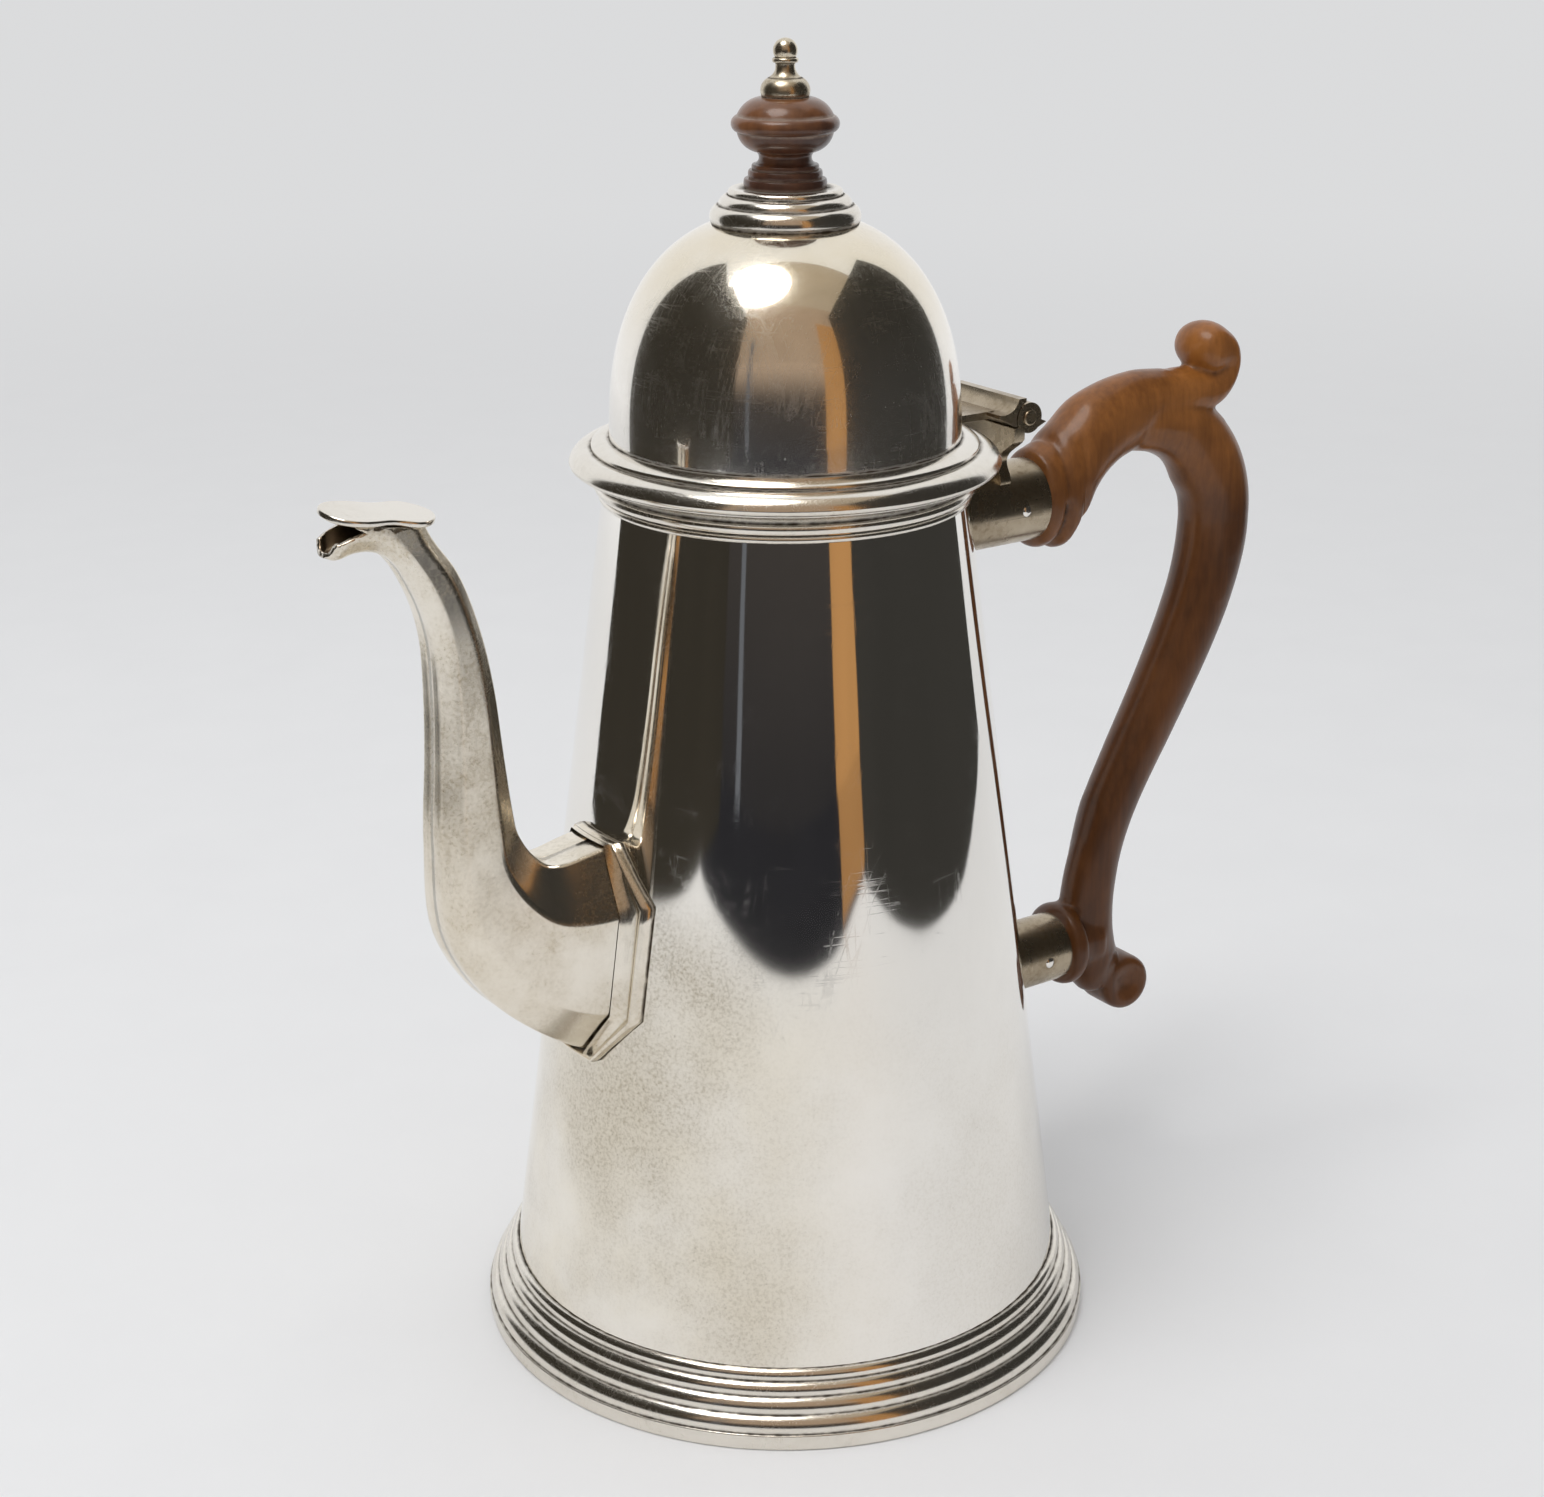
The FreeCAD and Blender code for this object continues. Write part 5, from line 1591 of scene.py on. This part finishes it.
    def round_beak(self, bm: Mesh) -> None:
        """Turns the eight-sided end into a round spoon.

        Args:
            bm: the skin of the neck.
        """
        root = self.body.radius(self.up)
        beak = [v for v in bm.verts if -v.co.x / MM - root > self.beak]
        Workshop.relax(bm, beak, self.beak_rounds, along_x=False)
        end = self.stations[-1][0]
        for vert in beak:
            share = (-vert.co.x / MM - root - self.tip_from) / (end - self.tip_from)
            if share > 0:
                vert.co.x += share * self.tip_round * (vert.co.y / MM) ** 2 * MM

    def plate_axes(self) -> tuple[Vector, Vector, Vector, Vector]:
        """The lip plate's rear tip, and its directions forwards, across and upwards.

        Returns:
            The tip and the three directions.
        """
        tilt, roll = math.radians(self.plate_tilt), math.radians(self.plate_roll)
        ahead = Vector((-math.cos(tilt), 0.0, math.sin(tilt)))
        level, rise = Vector((0.0, 1.0, 0.0)), Vector((math.sin(tilt), 0.0, math.cos(tilt)))
        across = level * math.cos(roll) + rise * math.sin(roll)
        return self.at(self.plate_out, self.plate_up), ahead, across, across.cross(ahead)

    def half(self, name: str, side: int) -> Piece:
        """One half of the neck, cut under the plate and open at the beak.

        Args:
            name: the piece's name.
            side: -1 or 1, the side of the plane y = 0.

        Returns:
            The new object with its wall's thickness.
        """
        bm = self.shell()
        start, _, _, normal = self.plate_axes()
        Workshop.cut(bm, start - normal * self.plate_thickness, normal)
        Workshop.cut(bm, Vector((0.0, side * self.seam, 0.0)), Vector((0.0, -side, 0.0)))
        notch, jaw = self.at(self.notch_out, self.notch_up), self.at(self.jaw_out, 0.0)
        rise = Vector((self.notch_rise, 0.0, 1.0)).normalized()
        fall = Vector((self.lip_fall, 0.0, -1.0)).normalized()
        for point, way in ((notch, rise), (notch, fall), (jaw, Vector((-1.0, 0.0, 0.0)))):
            Workshop.cut(bm, point, way, clear=False)
        mouth = []
        for face in bm.faces:
            middle = face.calc_center_median() / MM
            gap = middle - notch
            under = gap.dot(rise) < 0 or middle.x < jaw.x
            if gap.x < 0 and under and gap.dot(fall) < 0:
                mouth.append(face)
        bmesh.ops.delete(bm, geom=mouth, context="FACES")
        lips = [v for v in bm.verts if v.is_boundary and (v.co / MM).x < notch.x]
        bmesh.ops.remove_doubles(bm, verts=lips, dist=self.crumb * MM)
        bmesh.ops.dissolve_degenerate(bm, dist=0.02 * MM, edges=bm.edges)
        piece = Workshop.object_from(name, bm)
        wall = piece.modifiers.new("Wall", "SOLIDIFY")
        wall.thickness = self.wall * MM
        wall.offset = -1.0
        wall.use_even_offset = True
        wall.use_quality_normals = True
        wall.material_offset = 1
        Workshop.even_shading(piece)
        return piece

    def cover(self, name: str) -> Piece:
        """The fiddle-shaped plate over the beak, with eased edges.

        Args:
            name: the piece's name.

        Returns:
            The new object.
        """
        rows = self.plate + tuple((run, -wide) for run, wide in reversed(self.plate[1:-1]))
        count = self.plate_points
        start, ahead, across, rise = self.plate_axes()
        bm = bmesh.new()
        verts = []
        for i in range(count):
            run, wide = smooth_row(rows, i * len(rows) / count, closed=True)
            verts.append(bm.verts.new((start + ahead * run + across * wide) * MM))
        face = bmesh.ops.contextual_create(bm, geom=verts)["faces"][0]
        down = rise * (-self.plate_thickness * MM)
        under = bmesh.ops.extrude_face_region(bm, geom=[face], use_keep_orig=True)
        bmesh.ops.translate(bm, vec=down, verts=[v for v in under["geom"] if isinstance(v, bmesh.types.BMVert)])
        bmesh.ops.recalc_face_normals(bm, faces=bm.faces)
        Workshop.ease_edges(bm, Workshop.crisp_edges(bm, 60.0), self.plate_edge, 4)
        piece = Workshop.object_from(name, bm)
        Workshop.even_shading(piece)
        return piece

    def border(self, name: str, pieces_per_side: int = 8) -> Piece:
        """The flared moulding that joins the foot of the spout to the cone.

        Args:
            name: the piece's name.
            pieces_per_side: divisions of each side of the octagon.

        Returns:
            The new object, with the dirt along its joints noted on its points.
        """
        roots = [self.corner(index, self.root_place(index)) for index in range(8)]
        bm = bmesh.new()
        rings = []
        for share, lift in self.moulding:
            corners = []
            for index, point in enumerate(roots):
                row = self.row_of(index)
                wide = math.copysign(self.border_wide[row], point.y)
                corners.append(Vector((0.0, point.y + wide * share, point.z + self.border_rise[row] * share)))
            verts = []
            for first, second in zip(corners, corners[1:] + corners[:1]):
                for step in range(pieces_per_side):
                    place = first.lerp(second, step / pieces_per_side)
                    reach = self.body.radius(place.z) + lift
                    place.x = -math.sqrt(reach ** 2 - place.y ** 2)
                    verts.append(bm.verts.new(place * MM))
            rings.append([bm.edges.new(pair) for pair in zip(verts, verts[1:] + verts[:1])])
        for first, second in zip(rings, rings[1:] + rings[:1]):
            bmesh.ops.bridge_loops(bm, edges=first + second)
        bmesh.ops.recalc_face_normals(bm, faces=bm.faces)
        piece = Workshop.object_from(name, bm, sharp=50.0)
        # painted shade with dirt, darkest where the border meets the cone
        depths = []
        for vertex in piece.data.vertices:
            lift = math.hypot(vertex.co.x, vertex.co.y) / MM - self.body.radius(vertex.co.z / MM)
            depths.append(math.exp(-(lift / self.border_dirt_and_shade) ** 2))
        Workshop.note_depths(piece, depths)
        return piece


@dataclass
class Studio:
    """The pale floor, the lamp, the cards that the silver mirrors, and the camera."""

    turn: float = 35.0
    pitch: float = 70.06
    lens: float = 62.23
    eye: Triple = (-0.2778, -0.3967, 0.293)
    slide: float = -0.00855
    backdrop: Colour = (0.985, 0.99, 1.0)
    seen_level: float = 0.72
    mirrored_level: float = 0.92
    light_level: float = 0.60
    floor_radius: float = 7.0
    floor_dark: Colour = (0.83, 0.832, 0.84)
    floor_pale: Colour = (0.86, 0.862, 0.868)
    floor_roughness: float = 0.75
    # distances where the floor starts to fade and where it is all surround
    floor_fade: Pair = (0.35, 1.5)
    # lamp: towards the camera, right and up, then its width and power and where it aims
    lamp_place: Triple = (0.33, -0.31, 1.38)
    lamp_size: float = 0.8
    lamp_power: float = 8.5
    lamp_aim: Triple = (0.0, 0.0, 0.1)

    def spot(self, near: float, right: float, up: float) -> Vector:
        """A place by its distance towards the camera, to the picture's right, and up.

        Args:
            near: distance towards the camera.
            right: distance to the picture's right.
            up: height.

        Returns:
            The place in the frame.
        """
        turn = math.radians(self.turn)
        towards = Vector((-math.sin(turn), -math.cos(turn), 0.0))
        across = Vector((math.cos(turn), -math.sin(turn), 0.0))
        return towards * near + across * right + Vector((0.0, 0.0, up))

    def build(self) -> None:
        """Sets up everything round the pot."""
        self.world()
        self.floor()
        self.cards()
        self.lamp()
        self.camera()
        bpy.context.scene.view_settings.view_transform = "Standard"

    def world(self) -> None:
        """A white surround for the camera and the silver, and soft light for the rest."""
        world = bpy.data.worlds.new("Studio surround")
        bpy.context.scene.world = world
        world.use_nodes = True
        bench = Bench(world.node_tree)
        back = world.node_tree.nodes["Background"]
        bench.wire(back, {"Color": (*self.backdrop, 1.0), "Strength": self.level(bench)})

    def level(self, bench: Bench) -> Socket:
        """How bright the surround is: to the camera, in the silver, and as light on everything.

        Args:
            bench: the bench of the world or the floor.

        Returns:
            The strength of the glow.
        """
        light = bench.add("ShaderNodeLightPath", {}).outputs
        mirrored = bench.sum("MAXIMUM", light["Is Glossy Ray"], light["Is Transmission Ray"])
        level = bench.sum("MULTIPLY_ADD", mirrored, self.mirrored_level - self.light_level, self.light_level)
        return bench.sum("MULTIPLY_ADD", light["Is Camera Ray"], self.seen_level - self.light_level, level)

    def floor(self) -> None:
        """A wide pale table that fades into the surround."""
        bm = bmesh.new()
        bmesh.ops.create_circle(bm, cap_ends=True, radius=self.floor_radius, segments=96)
        floor = Workshop.object_from("studio_floor", bm)
        material, bench, shader = start_material("Pale floor")
        place = bench.place()
        tone = bench.blend(bench.noise(place, 30.0, 2.0), (*self.floor_dark, 1.0), (*self.floor_pale, 1.0))
        bench.wire(shader, {"Base Color": tone, "Roughness": self.floor_roughness})
        far = bench.ramp(bench.measure("LENGTH", place), *self.floor_fade)
        glow = bench.add("ShaderNodeEmission", {"Color": (*self.backdrop, 1.0), "Strength": self.level(bench)})
        bench.show(bench.add("ShaderNodeMixShader", {0: far, 1: shader.outputs[0], 2: glow.outputs[0]}))
        floor.data.materials.append(material)

    def card(self, name: str, corners: Sequence[Vector], colour: Colour, top: Optional[Colour] = None) -> None:
        """A card that only the silver sees.

        Args:
            name: the card's name.
            corners: its four corners in order.
            colour: how it glows, at its foot if it has another colour at its top.
            top: how it glows at its top.
        """
        bm = bmesh.new()
        bmesh.ops.contextual_create(bm, geom=[bm.verts.new(corner) for corner in corners])
        card = Workshop.object_from(name, bm)
        material, bench, _ = start_material(name)
        place = bench.place()
        shade = tuple(0.7 * part for part in colour)
        mixed = bench.blend(bench.noise(place, 3.0, 2.0), (*shade, 1.0), (*colour, 1.0))
        if top is not None:
            heights = [corner.z for corner in corners]
            rise = bench.ramp(bench.height(place), min(heights), max(heights))
            mixed = bench.blend(rise, mixed, (*top, 1.0))
        bench.show(bench.add("ShaderNodeEmission", {"Color": mixed, "Strength": 1.0}))
        card.data.materials.append(material)
        card.visible_camera = False
        card.visible_diffuse = False
        card.visible_shadow = False
        card.visible_transmission = False

    def cards(self) -> None:
        """Dark flags at both sides, warm screens behind the camera, a roof and dark cards on the floor."""
        olive, slate, soot = (0.040, 0.035, 0.027), (0.042, 0.040, 0.036), (0.050, 0.044, 0.040)
        # upright cards: left and right end towards the camera and to the right, foot, top, and how they glow
        for name, left, right, low, high, *glow in (
            ("flag_left_back", (-0.21, -0.42), (0.15, -0.50), 0.0, 1.0, olive),
            ("flag_left", (0.15, -0.50), (0.80, -0.52), 0.0, 1.1, olive),
            ("flag_right", (-0.32, 0.45), (0.56, 0.45), 0.0, 0.9, slate),
            ("screen_low", (1.0, -0.75), (1.0, 0.62), -0.1, 0.24, (0.026, 0.026, 0.029), soot),
            ("screen_middle", (1.0, -0.75), (1.0, 0.85), 0.24, 0.62, soot, (0.44, 0.33, 0.24)),
            ("screen_high", (1.0, -0.75), (1.0, 1.15), 0.62, 2.2, (0.46, 0.345, 0.25)),
            ("screen_amber", (0.98, 0.48), (0.98, 0.90), 0.0, 1.2, (0.52, 0.27, 0.10)),
            ("screen_pale", (0.97, -0.46), (0.97, -0.41), 0.0, 0.9, (0.16, 0.17, 0.19)),
        ):
            foot = [self.spot(*left, low), self.spot(*right, low)]
            head = [self.spot(*right, high), self.spot(*left, high)]
            self.card(name, foot + head, *glow)
        # level cards: height, corners towards the camera and to the right, and how they glow
        for name, up, corners, glow in (
            ("screen_roof", 1.7, ((-0.1, -0.62), (-0.1, 0.95), (1.05, 1.1), (1.05, -0.7)), (0.52, 0.44, 0.34)),
            ("apron", 0.002, ((0.56, -0.52), (0.56, 0.62), (1.1, 0.62), (1.1, -0.75)), (0.026, 0.026, 0.030)),
            ("apron_amber", 0.004, ((0.57, 0.29), (0.57, 0.45), (0.97, 0.88), (0.97, 0.49)), (0.42, 0.22, 0.085)),
        ):
            self.card(name, [self.spot(*corner, up) for corner in corners], glow)

    def lamp(self) -> None:
        """One large soft round lamp high on the left."""
        data = bpy.data.lights.new("key", "AREA")
        data.shape = "DISK"
        data.size = self.lamp_size
        data.energy = self.lamp_power
        lamp = bpy.data.objects.new("key", data)
        lamp.location = self.spot(*self.lamp_place)
        lamp.rotation_euler = (Vector(self.lamp_aim) - lamp.location).to_track_quat("-Z", "Y").to_euler()
        bpy.context.scene.collection.objects.link(lamp)

    def camera(self) -> None:
        """The camera at the photograph's angle."""
        data = bpy.data.cameras.new("view")
        data.lens = self.lens
        data.sensor_width = 36.0
        data.sensor_fit = "HORIZONTAL"
        data.shift_x = self.slide
        camera = bpy.data.objects.new("view", data)
        camera.location = self.eye
        camera.rotation_euler = (math.radians(self.pitch), 0.0, math.radians(-self.turn))
        bpy.context.scene.collection.objects.link(camera)
        bpy.context.scene.camera = camera


def main() -> None:
    """Builds the pot, sub-assembly by sub-assembly, and the studio round it."""
    logging.basicConfig(level=logging.INFO, format="%(name)s %(message)s")
    finishes = Finishes()
    body = BodyAndFoot()
    lid = Lid()
    body.build(finishes)
    lid.build(finishes)
    Finial(lid).build(finishes)
    Hinge().build(finishes)
    Handle().build(finishes)
    Spout(body).build(finishes)
    Studio().build()


if __name__ == "__main__":
    main()
